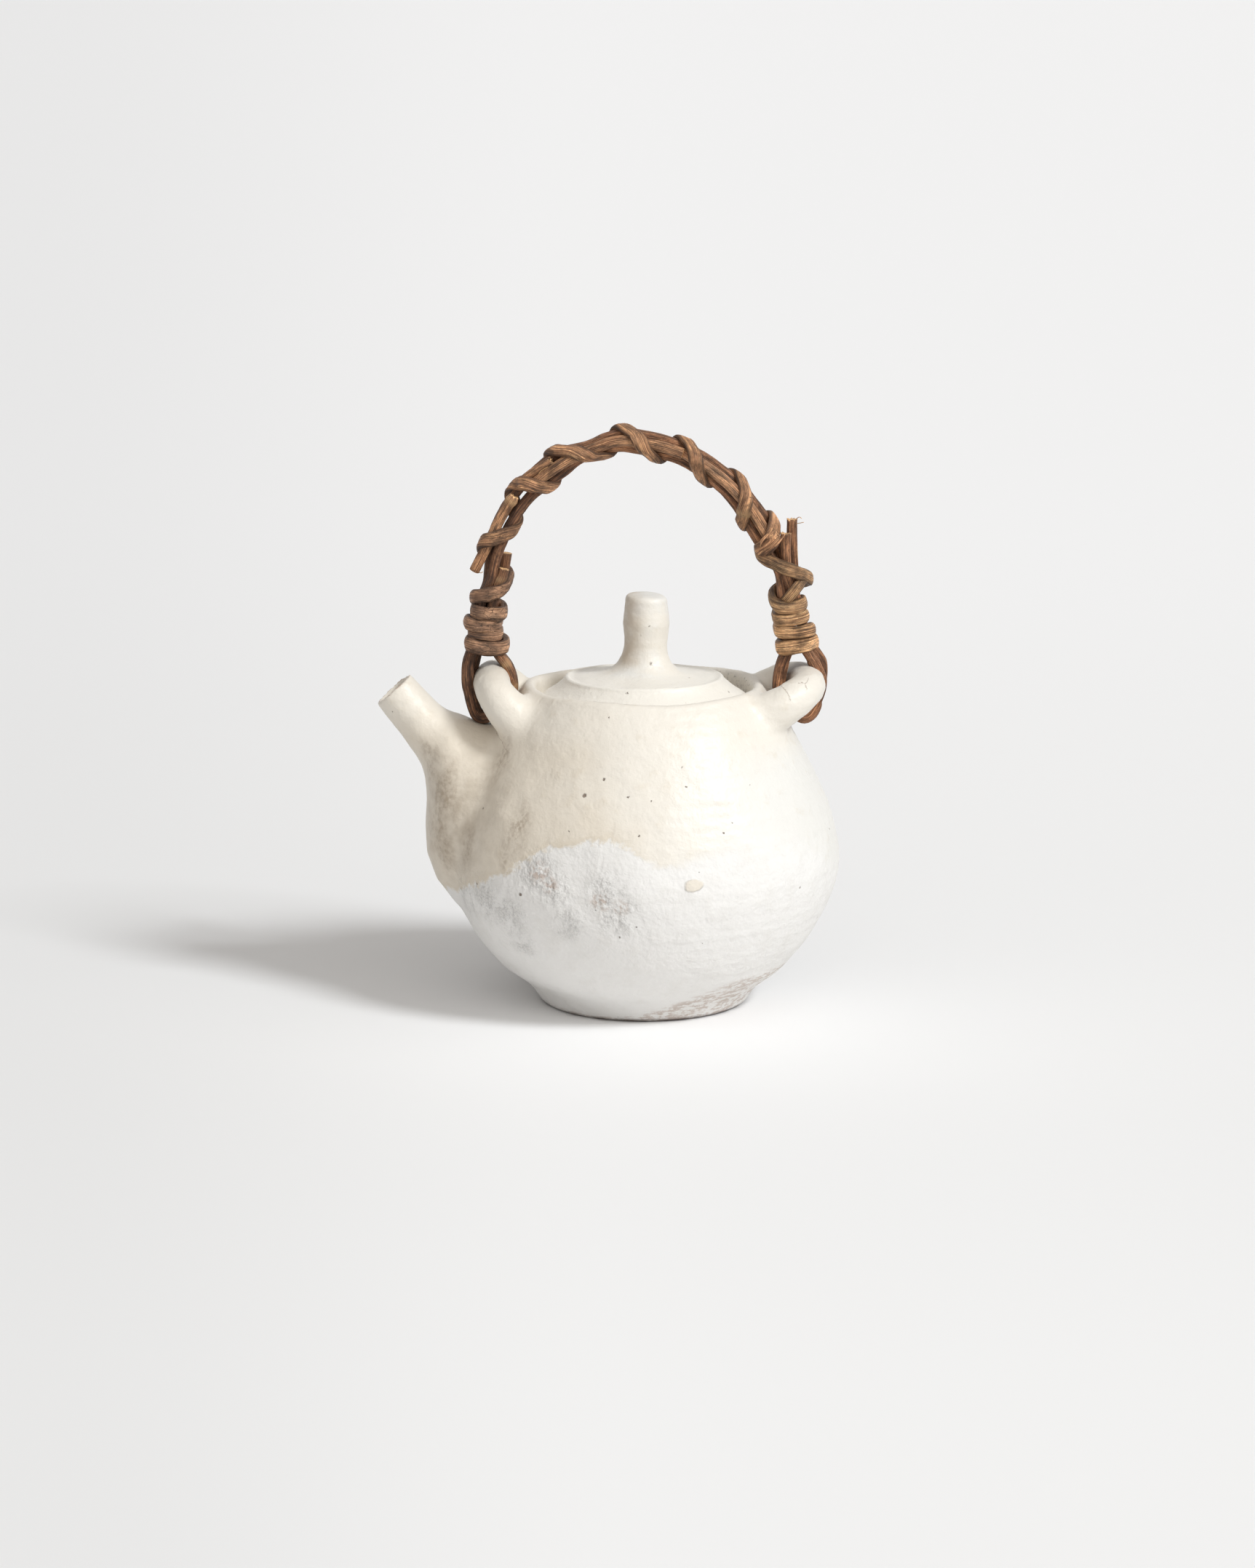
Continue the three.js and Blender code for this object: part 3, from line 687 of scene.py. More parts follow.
lidSettings = {
    "profile": [
        (0, 107.6), (20, 104.9), (24.2, 102.4), (25.4, 96.4), (26.4, 95.9), (28, 96), (28.6, 97), (28.7, 101),
        (29.1, 102.1), (33.9, 102.2), (34.8, 102.6), (34.9, 103.4), (34.2, 104), (32.4, 105.1), (30, 106.7),
        (27.9, 108.4), (26.9, 109.5), (26.3, 110.4), (25.6, 110.7), (24.8, 110.5), (23.6, 110.4), (21.6, 110.7),
        (19.2, 111.0), (16.6, 111.4), (14.2, 111.9), (12.2, 112.6), (10.6, 113.6), (9.2, 115.0), (8.2, 116.8),
        (7.5, 119), (7.2, 121.6), (7.3, 124), (7.6, 126.5), (7.8, 128.6), (7.6, 131), (7.3, 133.4), (7.1, 135.4),
        (6.9, 137), (6.4, 138), (5.4, 138.5), (3.4, 138.7), (0, 138.6),
    ],
    "spinSteps": 128,
    "waves": [(22, 0.3), (8, 0.2), (3.4, 0.07)],
    "seed": 8.4,
    "throwingRings": (0.02, 2.9),
    "shown": (103, 105),
    "knobFade": (114, 126),
    "knobShift": 0.8,
    "knobTop": (130, 138),
    "knobTilt": (-0.06, 0.03, -0.4),
}


def makeLid():
    s = lidSettings
    table = np.array(s["profile"], float)
    smooth = spline([(r, z, 0) for r, z in table], 4)[:, :2]
    smooth[:, 0] = np.maximum(smooth[:, 0], 0)
    smooth[0, 0] = smooth[-1, 0] = 0
    lid = spinProfile("lid", [tuple(map(float, point)) for point in smooth], s["spinSteps"])
    here = coordsOf(lid) / mm
    out = coordsOf(lid, "normal")
    lift = lumps(here * mm, s["waves"], s["seed"]) + throwingRings(here[:, 2], *s["throwingRings"])
    moved = here + out * (lift * smoothStep(here[:, 2], *s["shown"]))[:, None]
    moved[:, 0] += s["knobShift"] * smoothStep(here[:, 2], *s["knobFade"])
    alongX, alongY, drop = s["knobTilt"]
    moved[:, 2] += smoothStep(here[:, 2], *s["knobTop"]) * (alongX * here[:, 0] + alongY * here[:, 1] + drop)
    setCoords(lid, moved * mm)
    shadeSmooth(lid)
    return lid


lid = makeLid()
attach(lid, "lid")
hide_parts("lid_plate", "lid_knob")
print("lid made")


# Route of the handle: the arch's centre line, with the canes beside it

handleSettings = {
    "bindingLow": 119.4,
    "bindingHigh": 141.8,
    "archTop": 191.8,
    "archTopX": -5,
    "fullness": (1.85, 1.7),
    "bindingFoot": (-53.09, 51.99),
    "bindingLean": (2.4, -3.4),
    "spacing": 4.1,
    "coreWidth": 3.6,
    "coreThickness": 3.9,
    "splayFrom": (108, 116),
    "splayTo": (122, 126),
    "splayLeft": {-1: -0.1, 1: 1.9},
    "splayRight": {-1: -2.2, 1: 0.2},
    "closeUnder": 120,
    "closeness": 0.9,
    "archShifts": {-1: (1.3, -0.8), 1: (0.6, 0)},
    "leftLoop": [
        (-49.7, 137.4), (-50.8, 132.8), (-51.1, 128.4), (-50.8, 124.4), (-50.2, 121.6), (-49.2, 119.4),
        (-47.9, 117.2), (-46.1, 115.0), (-44.8, 112.6), (-43.7, 109.4), (-43.4, 106.2), (-44.9, 102.4),
        (-48.2, 99.0), (-51.8, 97.3), (-54.3, 96.8), (-55.9, 97.6), (-56.7, 99.2), (-57.5, 101.8), (-58.2, 105.0),
        (-58.8, 108.4), (-58.9, 111.6), (-58.8, 114.6), (-58.2, 117.2), (-57.6, 119.4), (-56.7, 121.6),
        (-56.0, 124.4), (-55.4, 128.4), (-54.8, 132.8), (-53.9, 137.4),
    ],
    "rightLoop": [
        (46.2, 137.4), (46.9, 134.6), (47.4, 130.5), (47.7, 126.3), (48.3, 121.8), (47.9, 119.4), (47.0, 117.2),
        (46.1, 114.6), (45.4, 111.0), (45.1, 107.4), (46.0, 103.2), (48.6, 99.6), (51.6, 97.6), (53.8, 96.8),
        (55.4, 97.6), (56.9, 99.8), (58.4, 102.8), (59.5, 106.0), (59.9, 109.5), (59.7, 112.6), (58.9, 115.2),
        (57.6, 117.6), (56.2, 119.8), (54.9, 122.0), (53.5, 126.3), (51.6, 130.5), (50.8, 134.6), (50.2, 137.8),
    ],
    "leftStub": {
        -1: [(-48.7, 141.8), (-47.3, 144.4), (-46.6, 147.0)],
        1: [(-48.4, 141.8), (-46.6, 147.0), (-45.8, 151.8)],
    },
    "rightStub": {
        -1: [(48.6, 141.8), (47.3, 146.0), (46.9, 152.0), (46.9, 158.8)],
        1: [(50.2, 141.8), (49.6, 148.0), (49.2, 156.0), (49.2, 162.8)],
    },
}

hs = handleSettings
halfGap = hs["spacing"] / 2


def bindingAxis(end, height):
    share = (height - hs["bindingLow"]) / (hs["bindingHigh"] - hs["bindingLow"])
    return hs["bindingFoot"][end] + hs["bindingLean"][end] * share


archEnds = [bindingAxis(end, hs["bindingHigh"]) - halfGap for end in (0, 1)]


def archPoint(angle):
    end = 0 if angle < math.pi / 2 else 1
    power = 2 / hs["fullness"][end]
    x = hs["archTopX"] + (archEnds[end] - hs["archTopX"]) * abs(math.cos(angle)) ** power
    z = hs["bindingHigh"] + (hs["archTop"] - hs["bindingHigh"]) * math.sin(angle) ** power
    return x, 0, z


archLine = np.array([archPoint(angle) for angle in np.linspace(0, math.pi, 241)])
archSpans = np.linalg.norm(np.diff(archLine, axis=0), axis=1)
archLengths = np.concatenate([[0], np.cumsum(archSpans)])


# Point and direction at a distance along a line, running on straight past its ends
def lineAt(line, lengths, distance):
    inside = min(max(distance, 0), lengths[-1])
    point = np.array([np.interp(inside, lengths, line[:, axis]) for axis in range(3)])
    i = min(max(int(np.searchsorted(lengths, inside)), 1), len(line) - 1)
    before, after = line[max(i - 2, 0)], line[min(i + 1, len(line) - 1)]
    tangent = (after - before) / np.linalg.norm(after - before)
    return point + tangent * (distance - inside), tangent


def archNormal(tangent):
    return np.array([-tangent[2], 0, tangent[0]])


def beside(distance, out, back):
    point, tangent = lineAt(archLine, archLengths, distance)
    return point + archNormal(tangent) * out + np.array([0, back, 0])


# Where each cane lies beside the arch: distance along it, outward, back
caneTables = {
    "front": [
        (4, -2.2, -2.05), (9, -2.4, -1.8), (15, -2.6, -1.2), (22, -3.0, -0.8), (29, -3.2, -0.3), (35, -3.5, 0.3),
        (43, -4.6, 0.5), (50, -4.7, 0.3), (56, -3.9, 0.2), (65, -3.8, 0.5), (72, -3.9, 0.8), (79, -4.6, 0.8),
        (87, -4.5, 0.8), (94, -3.5, 0.6), (103, -3.3, 0.5), (112, -3.2, 0.4), (119, -3.5, 0.3), (127, -4.3, -0.2),
        (134, -4.3, -0.8), (141, -3.2, -1.2), (147, -1.3, -1.2),
    ],
    "back": [
        (4, -0.9, 2.05), (9, -0.4, 1.9), (15, 0.6, 1.6), (23, 1.0, 1.6), (34, 1.1, 1.5), (45, 1.0, 1.6),
        (52, 0.8, 1.4), (57, -0.5, 1.3), (62, -1.2, 1.0), (68, -0.4, 0.7), (74, 0.3, 0.6), (80, -0.1, 0.7),
        (87, 0.2, 0.9), (95, 0.8, 1.1), (106, 1.0, 1.2), (116, 1.3, 1.2), (124, 1.0, 1.3), (131, 1.2, 1.6),
        (137, 1.0, 1.9), (143, 0.5, 2.1), (149, 0.1, 2.3),
    ],
    "fillerLow": [
        (36, -0.9, -1.9), (41, -1.5, -2.6), (47, -1.9, -3.0), (53, -2.1, -3.0), (58, -2.4, -2.9), (64, -2.3, -2.8),
        (70, -1.7, -2.8), (76, -1.8, -2.9), (81, -2.1, -2.9), (88, -1.6, -2.8), (94.4, -1.0, -2.9),
    ],
    "fillerHigh": [
        (95, -0.8, -1.9), (99, -0.9, -2.5), (105, -0.8, -2.9), (112, -0.7, -2.9), (118, -0.7, -2.9),
        (124, -0.7, -2.8), (132, -0.9, -3.1), (139, -0.4, -3.2),
    ],
    "sideLow": [
        (4.3, 4.0, -2.6), (7, 3.0, -2.9), (11, 1.9, -3.1), (16, 1.1, -3.1), (22, 0.9, -2.9), (27, 0.9, -2.7),
        (31.2, 1.0, -2.9),
    ],
    "sideHigh": [(36, 2.2, -1.2), (39, 1.9, -2.0), (43, 1.4, -2.6), (47.6, 0.9, -3.1)],
}


# The outer legs of the loops lie side by side just below the bindings
def splay(x, z, which):
    below = float(smoothStep(z, *hs["splayFrom"]) * (1 - smoothStep(z, *hs["splayTo"])))
    if x < -53:
        return below * hs["splayLeft"][which]
    if x > 52:
        return below * hs["splayRight"][which]
    return 0.0


def coreCane(which):
    y = which * halfGap
    shiftIn, shiftOut = hs["archShifts"][which]

    # The two canes lie closer together where they pass round the lugs
    def loop(stops):
        return [
            (x + splay(x, z, which), y if z > hs["closeUnder"] else y * hs["closeness"], z) for x, z in stops
        ]

    return spline([
        *((x, y, z) for x, z in hs["leftStub"][which][::-1]),
        *loop(hs["leftLoop"]),
        (archEnds[0] + shiftIn, y, hs["bindingHigh"]),
        *(beside(*stop) for stop in caneTables["front" if which < 0 else "back"]),
        (archEnds[1] + shiftOut, y * 0.7, hs["bindingHigh"]),
        *loop(hs["rightLoop"]),
        *((x, y * 1.3 if which < 0 else y, z) for x, z in hs["rightStub"][which]),
    ], 6)


def besideLine(name):
    return spline([beside(*stop) for stop in caneTables[name]], 8)


# A strand's look, where a piece doesn't say otherwise
plainLook = {
    "step": 0.7,
    "ease": 1,
    "sides": 84,
    "ridges": 21,
    "ridgeDepth": 0.15,
    "fullness": 2.2,
    "lumpy": 0.08,
    "nodes": [],
    "tornStart": 0,
    "tornEnd": 0,
    "shades": 1.0,
}


# One cane: ridged along its length, with swollen nodes, cut or torn at its ends
def strand(name, path, radials, width, thickness, look):
    look = {**plainLook, **look}
    seed, sides, ridges = look["seed"], look["sides"], look["ridges"]
    lengths = np.concatenate([[0], np.cumsum(np.linalg.norm(np.diff(path, axis=0), axis=1))])
    count = max(int(lengths[-1] / look["step"]), 6)
    at = np.linspace(0, lengths[-1], count)
    along = lambda values: np.interp(at, lengths, np.broadcast_to(values, len(path)))
    line = np.stack([along(path[:, axis]) for axis in range(3)], 1)
    facing = np.stack([along(radials[:, axis]) for axis in range(3)], 1)
    for _ in range(look["ease"]):
        line[1:-1] = line[1:-1] * 0.5 + (line[:-2] + line[2:]) * 0.25
    tangents = np.gradient(line, axis=0)
    tangents /= np.linalg.norm(tangents, axis=1)[:, None]
    facing -= tangents * np.einsum("ij,ij->i", facing, tangents)[:, None]
    facing /= np.linalg.norm(facing, axis=1)[:, None]
    across = np.cross(facing, tangents)

    dice = np.random.default_rng(seed)
    turn = np.linspace(0, 2 * math.pi, sides, endpoint=False)
    strength = 0.35 + 0.9 * dice.random(ridges)
    ridgeOf = (turn / (2 * math.pi) * ridges).astype(int) % ridges
    ridge = (0.5 - 0.5 * np.cos(turn * ridges)) ** 0.7 * strength[ridgeOf]
    wide, thick = along(width) / 2, along(thickness) / 2
    drift = np.array([noise.noise(Vector((s * 0.03, seed, 1))) for s in at])
    swell = np.ones(count)
    rubbed = np.zeros(count)
    for place, size in look["nodes"]:
        swell += size * np.exp(-((at - place) / 1.1) ** 2) - 0.5 * size * np.exp(-((at - place - 1.8) / 0.6) ** 2)
        rubbed += np.exp(-((at - place) / 1.3) ** 2)
    twist = drift * 0.5
    square = 2 / look["fullness"]

    verts = np.empty((count, sides, 3))
    grooves = np.empty((count, sides))
    # Painted shade on the flanks, where a strand presses on its neighbours
    flankShade = np.abs(np.cos(turn)) ** 6
    for i in range(count):
        shape = np.interp((turn - twist[i]) % (2 * math.pi), turn, ridge, period=2 * math.pi)
        bump = np.array([
            noise.noise(Vector((math.cos(a) * 0.9, math.sin(a) * 0.9 + seed, at[i] * 0.16))) +
            0.6 * noise.noise(Vector((math.cos(a) * 1.6, math.sin(a) * 1.6 + seed, at[i] * 0.42)))
            for a in turn[::6]
        ])
        bump = np.interp(np.arange(sides), np.arange(0, sides, 6), bump, period=sides)
        lift = 1 + bump * look["lumpy"]
        x = np.sign(np.cos(turn)) * np.abs(np.cos(turn)) ** square * wide[i] * lift * swell[i]
        y = np.sign(np.sin(turn)) * np.abs(np.sin(turn)) ** square * thick[i] * lift * swell[i]
        depth = look["ridgeDepth"] * (shape - 0.7)
        reach = np.hypot(x, y)
        x, y = x * (1 + depth / reach), y * (1 + depth / reach)
        verts[i] = line[i] + across[i] * x[:, None] + facing[i] * y[:, None]
        grooves[i] = shape

    mesh = bpy.data.meshes.new(name)
    piece = bpy.data.objects.new(name, mesh)
    scene.collection.objects.link(piece)
    points = list((verts * mm).reshape(-1, 3))
    faces, uvs, cut = [], [], []
    girth = math.pi * (float(np.mean(wide)) + float(np.mean(thick)))
    for i in range(count - 1):
        for k in range(sides):
            n = (k + 1) % sides
            faces.append((i * sides + k, i * sides + n, (i + 1) * sides + n, (i + 1) * sides + k))
            a, b = k / sides * girth, (k + 1) / sides * girth
            uvs += [(a, at[i]), (b, at[i]), (b, at[i + 1]), (a, at[i + 1])]
            cut.append(0)
    for row, sign, torn in ((0, -1, look["tornStart"]), (count - 1, 1, look["tornEnd"])):
        hub = line[row] + tangents[row] * sign * 0.15
        ringStart = row * sides
        if torn:
            tear = dice.random(sides)
            tear = np.convolve(np.tile(tear, 3), np.ones(3) / 3, "same")[sides:2 * sides]
            for k in range(sides):
                points[ringStart + k] = points[ringStart + k] + tangents[row] * sign * torn * (tear[k] - 0.3) * mm
        inner = len(points)
        for k in range(sides):
            rim = points[ringStart + k] / mm
            points.append((rim * 0.86 + hub * 0.14 + tangents[row] * sign * 0.12) * mm)
        points.append(hub * mm)
        for k in range(sides):
            n = (k + 1) % sides
            quad = (ringStart + k, inner + k, inner + n, ringStart + n)
            tri = (inner + k, len(points) - 1, inner + n)
            faces += [quad, tri] if sign < 0 else [quad[::-1], tri[::-1]]
            uvs += [(k / sides * girth, at[row])] * 7
            cut += [1, 1]
    mesh.from_pydata([tuple(p) for p in points], [], faces)
    layer = mesh.uv_layers.new(name="strand")
    layer.data.foreach_set("uv", np.array(uvs, float).ravel())
    spare = len(points) - count * sides
    perRow = {"shade": along(look["shades"]), "rubbed": np.clip(rubbed, 0, 1)}
    values = {
        "groove": np.concatenate([grooves.ravel(), np.full(spare, 0.6)]),
        "flankShade": np.concatenate([np.tile(flankShade, count), np.full(spare, 0.0)]),
    }
    for key, rows in perRow.items():
        values[key] = np.concatenate([np.repeat(rows, sides), np.full(spare, rows[-1])])
    for key, column in values.items():
        mesh.attributes.new(key, "FLOAT", "POINT").data.foreach_set("value", column)
    mesh.polygons.foreach_set("material_index", np.array(cut, int))
    mesh.polygons.foreach_set("use_smooth", np.ones(len(faces), bool))
    mesh.update()
    onlySelect(piece)
    editAll()
    bpy.ops.mesh.normals_make_consistent(inside=False)
    leaveEdit()
    return piece


# Outline round the canes where a plane cuts them, and the point on it at a polar angle
def hullPoint(paths, point, tangent, normal, reach, stand, polar):
    up = np.array([0, 1.0, 0])
    hits = []
    for path, radius in paths:
        off = path - point
        side = off @ tangent
        for i in np.nonzero(side[:-1] * side[1:] <= 0)[0]:
            share = side[i] / (side[i] - side[i + 1]) if side[i] != side[i + 1] else 0
            hit = off[i] + (off[i + 1] - off[i]) * share
            if abs(hit @ normal) < reach and abs(hit @ up) < reach:
                hits.append((hit @ normal, hit @ up, radius))
    hits = np.array(hits)
    turns = np.linspace(-math.pi, math.pi, 180, endpoint=False)
    toward = np.stack([np.cos(turns), np.sin(turns)], 1)
    support = hits[:, :2] @ toward.T + hits[:, 2:3]
    best = support.argmax(0)
    outline = hits[best, :2] + toward * (hits[best, 2] + stand)[:, None]
    centre = (outline.max(0) + outline.min(0)) / 2
    polars = np.arctan2(outline[:, 1] - centre[1], outline[:, 0] - centre[0])
    order = np.argsort(polars)
    polar = (polar + math.pi) % (2 * math.pi) - math.pi
    found = [
        np.interp(polar, polars[order], column[order], period=2 * math.pi) for column in (*outline.T, *toward.T)
    ]
    place = point + normal * found[0] + up * found[1]
    facing = normal * found[2] + up * found[3]
    return place, facing / np.linalg.norm(facing)


def eased(knots, turns):
    xs, ys = zip(*knots)
    return np.interp(turns, xs, ys)


# Rows averaged with their neighbours, so that a cane doesn't kink where others end under it
def calmed(rows, kernel):
    rows, half = np.array(rows), len(kernel) // 2
    padded = np.concatenate([2 * rows[:1] - rows[half:0:-1], rows, 2 * rows[-1:] - rows[-2:-half - 2:-1]])
    smooth = [np.convolve(column, kernel, "same")[half:half + len(rows)] for column in padded.T]
    return np.stack(smooth, 1)


# A flat cane wound round the others: settings hold (turn, value) knots for its climb, shift, stand and width
def windRound(paths, line, lengths, normalOf, start, settings, reach, perTurn=64):
    climb = settings["climb"]
    turns = np.linspace(climb[0][0], climb[-1][0], int((climb[-1][0] - climb[0][0]) * perTurn))
    kernel = np.hanning(perTurn // 8 + 2)[1:-1]
    kernel /= kernel.sum()
    distances = calmed(eased(climb, turns)[:, None], kernel)[:, 0]
    shifts = eased(settings["shift"], turns)
    stands = settings["thickness"] / 2 + eased(settings["stand"], turns)
    places, facings = [], []
    for turn, distance, shift, stand in zip(turns, distances, shifts, stands):
        point, tangent = lineAt(line, lengths, distance)
        normal = normalOf(tangent)
        place, facing = hullPoint(paths, point, tangent, normal, reach, stand, start - 2 * math.pi * turn)
        places.append(place + normal * shift)
        facings.append(facing)
    widths, shades = eased(settings["width"], turns), eased(settings["shade"], turns)
    return calmed(places, kernel), calmed(facings, kernel), widths, shades


# Clay and glaze

glazeSettings = {
    "cream": (0.80, 0.756, 0.68),
    "creamCoolAndLit": (0.79, 0.775, 0.735),
    "creamDeep": (0.66, 0.58, 0.46),
    "creamThickAndShaded": (0.75, 0.68, 0.575),
    "creamSmoked": (0.46, 0.39, 0.305),
    "stain": (0.36, 0.285, 0.21),
    "slip": (0.825, 0.81, 0.785),
    "slipShade": (0.77, 0.75, 0.715),
    "grey": (0.42, 0.41, 0.395),
    "pit": (0.17, 0.11, 0.075),
    "crack": (0.30, 0.20, 0.13),
    "bareClay": (0.40, 0.275, 0.205),
    "darkClay": (0.10, 0.065, 0.05),
    "specular": 0.42,
    "grains": [(0.045, 3), (0.16, 4), (0.62, 4), (2.4, 3)],
    "shake": 1.1,
    "edgeRagged": (9.0, 3.2),
    "edgeSoft": (-10, 45, 0.9, 6.0),
    "thickShadeAcross": (10, -35),
    "thickShadeUp": (102, 90, 0.35, 1.0),
    "litAcross": (5, 40),
    "litUp": (96, 84),
    "bandTop": (-12, 40, 2.0, 17.0),
    "bandFront": (6, -12),
    "rimFrom": (99, 101),
    "rimTo": (109, 107.4),
    "rimRadius": (37.6, 36.9),
    "cracksFront": (-7, -9),
    "strength": {
        "smoke": 0.62, "stains": 0.72, "edge": 0.35, "thin": 0.62, "rust": 0.6, "blob": 0.8, "band": 0.5,
        "standing": 0.75, "rimRust": 0.45, "spoutLip": 0.8, "pits": 0.85, "cracks": 0.55,
    },
    "relief": {
        "middle": 0.65, "crawl": 1.1, "tiny": 0.02, "edge": 0.13, "blob": 0.35, "pits": 0.45, "cracks": 0.08,
    },
    "lineSpan": 110,
    "glazeLine": [
        (-180, 40), (-166, 40), (-158, 43), (-149.6, 46.9), (-138, 51), (-132.5, 53.9), (-125.6, 59.5),
        (-118.5, 63.8), (-109, 65.7), (-97.9, 65.7), (-91.3, 62.1), (-86, 58.7), (-78.7, 59.6), (-64.8, 64.3),
        (-55, 64.4), (-43.7, 62.7), (-25.5, 56.8), (-12, 50), (10, 53), (35, 61), (60, 57), (85, 63), (112, 66),
        (135, 58), (158, 47), (180, 40),
    ],
    "greyPlaces": [
        (-34.5, -54.0, 54.5, 6.5), (-29.7, -57.2, 50, 5), (-44.3, -46, 40, 7), (-52, -39, 42, 7),
        (-59.3, -25.4, 41.4, 7), (-12, -63.4, 50, 6), (-8, -64, 43, 6), (-39.6, -44, 30, 5), (-25, -58, 39, 5),
        (30, 56, 50, 9), (-20, 60, 40, 8),
    ],
    "rustPlaces": [
        (-34.2, -54.2, 55.2, 3.2), (-30.5, -56.6, 51.5, 2.4), (-14, -62, 47.5, 3.0), (-7.5, -64.1, 46.0, 2.2),
    ],
    "smoke": [(-62.0, -24.0, 67.0, 21.0)],
    "stains": [
        (-66.5, -19.5, 74, 5.5), (-68.5, -18.5, 64, 5), (-66, -18, 57, 4.5), (-41, -45.5, 70, 4),
        (-43.5, -47, 61, 4.5), (-73, -14, 84, 4), (-47, -24, 86, 4), (-58, -28, 58, 3.5),
    ],
    "pits": [
        (-110.5, 80.4, 1.1), (-104.4, 85.5, 0.7), (-95.6, 80.5, 0.6), (-105.8, 104.0, 0.5), (-29.5, 99.3, 0.75),
        (-107.6, 66.5, 0.5), (-91.8, 68.8, 0.5), (-65.4, 68.8, 0.45), (-61.9, 71.4, 0.3), (-14.3, 61.6, 0.5),
        (-122.5, 55.2, 1.5), (-123.3, 50.4, 0.9), (-125.5, 53.0, 0.7), (-98.0, 48.8, 0.8), (-97.6, 42.9, 0.7),
        (-117, 45.1, 0.7), (-92.3, 39.3, 0.5), (-72.2, 32.4, 0.4), (-87.9, 79.3, 0.4), (-51.6, 82, 0.35),
        (-74.3, 57.1, 0.4), (-147, 47.4, 0.5), (-95.4, 41.8, 0.4), (-119, 48.5, 0.9), (-112, 41.5, 0.5),
        (-128, 47.4, 0.9), (-114.5, 37.5, 0.4), (40, 77, 0.6), (95, 58, 0.8), (150, 84, 0.5), (122, 35, 0.7),
    ],
    "blob": (15.9, -64.2, 53.1),
    "cracks": [
        [(-49.3, 93.1), (-47.1, 92.2), (-46.3, 90.3), (-44.5, 89.2)],
        [(50.9, 111.2), (52.2, 111.4), (53.1, 111.0), (54.0, 111.8), (54.4, 112.4)],
        [(53.1, 111.0), (53.4, 110.1), (53.7, 109.4)],
        [(44.7, 110.6), (46.0, 109.8), (47.3, 108.5), (48.1, 106.3)],
    ],
}


def shakenPlace(place):
    jitter = made(place.tree, "TexNoise", {"Vector": place, "Scale": 1.7, "Detail": 3.0}, "Color")
    return place.vectorMaths("ADD", {1: jitter.vectorMaths("SCALE", {"Scale": glazeSettings["shake"]})})


# The jitter lies round half its size, and marks set on shaken places move with it
def unshaken(point):
    return tuple(value + glazeSettings["shake"] / 2 for value in point)


def scatteredPits(shaken, scale, fewest, size):
    cells = addNode(shaken.tree, "TexVoronoi", {"Vector": shaken, "Scale": scale, "Randomness": 1.0}, feature="F1")
    colour, distance = (Value(shaken.tree, cells.outputs[name]) for name in ("Color", "Distance"))
    chosen = between(made(shaken.tree, "SeparateColor", {0: colour}), fewest, 0.9)
    return between(distance - chosen * size, 0.0, -0.04)


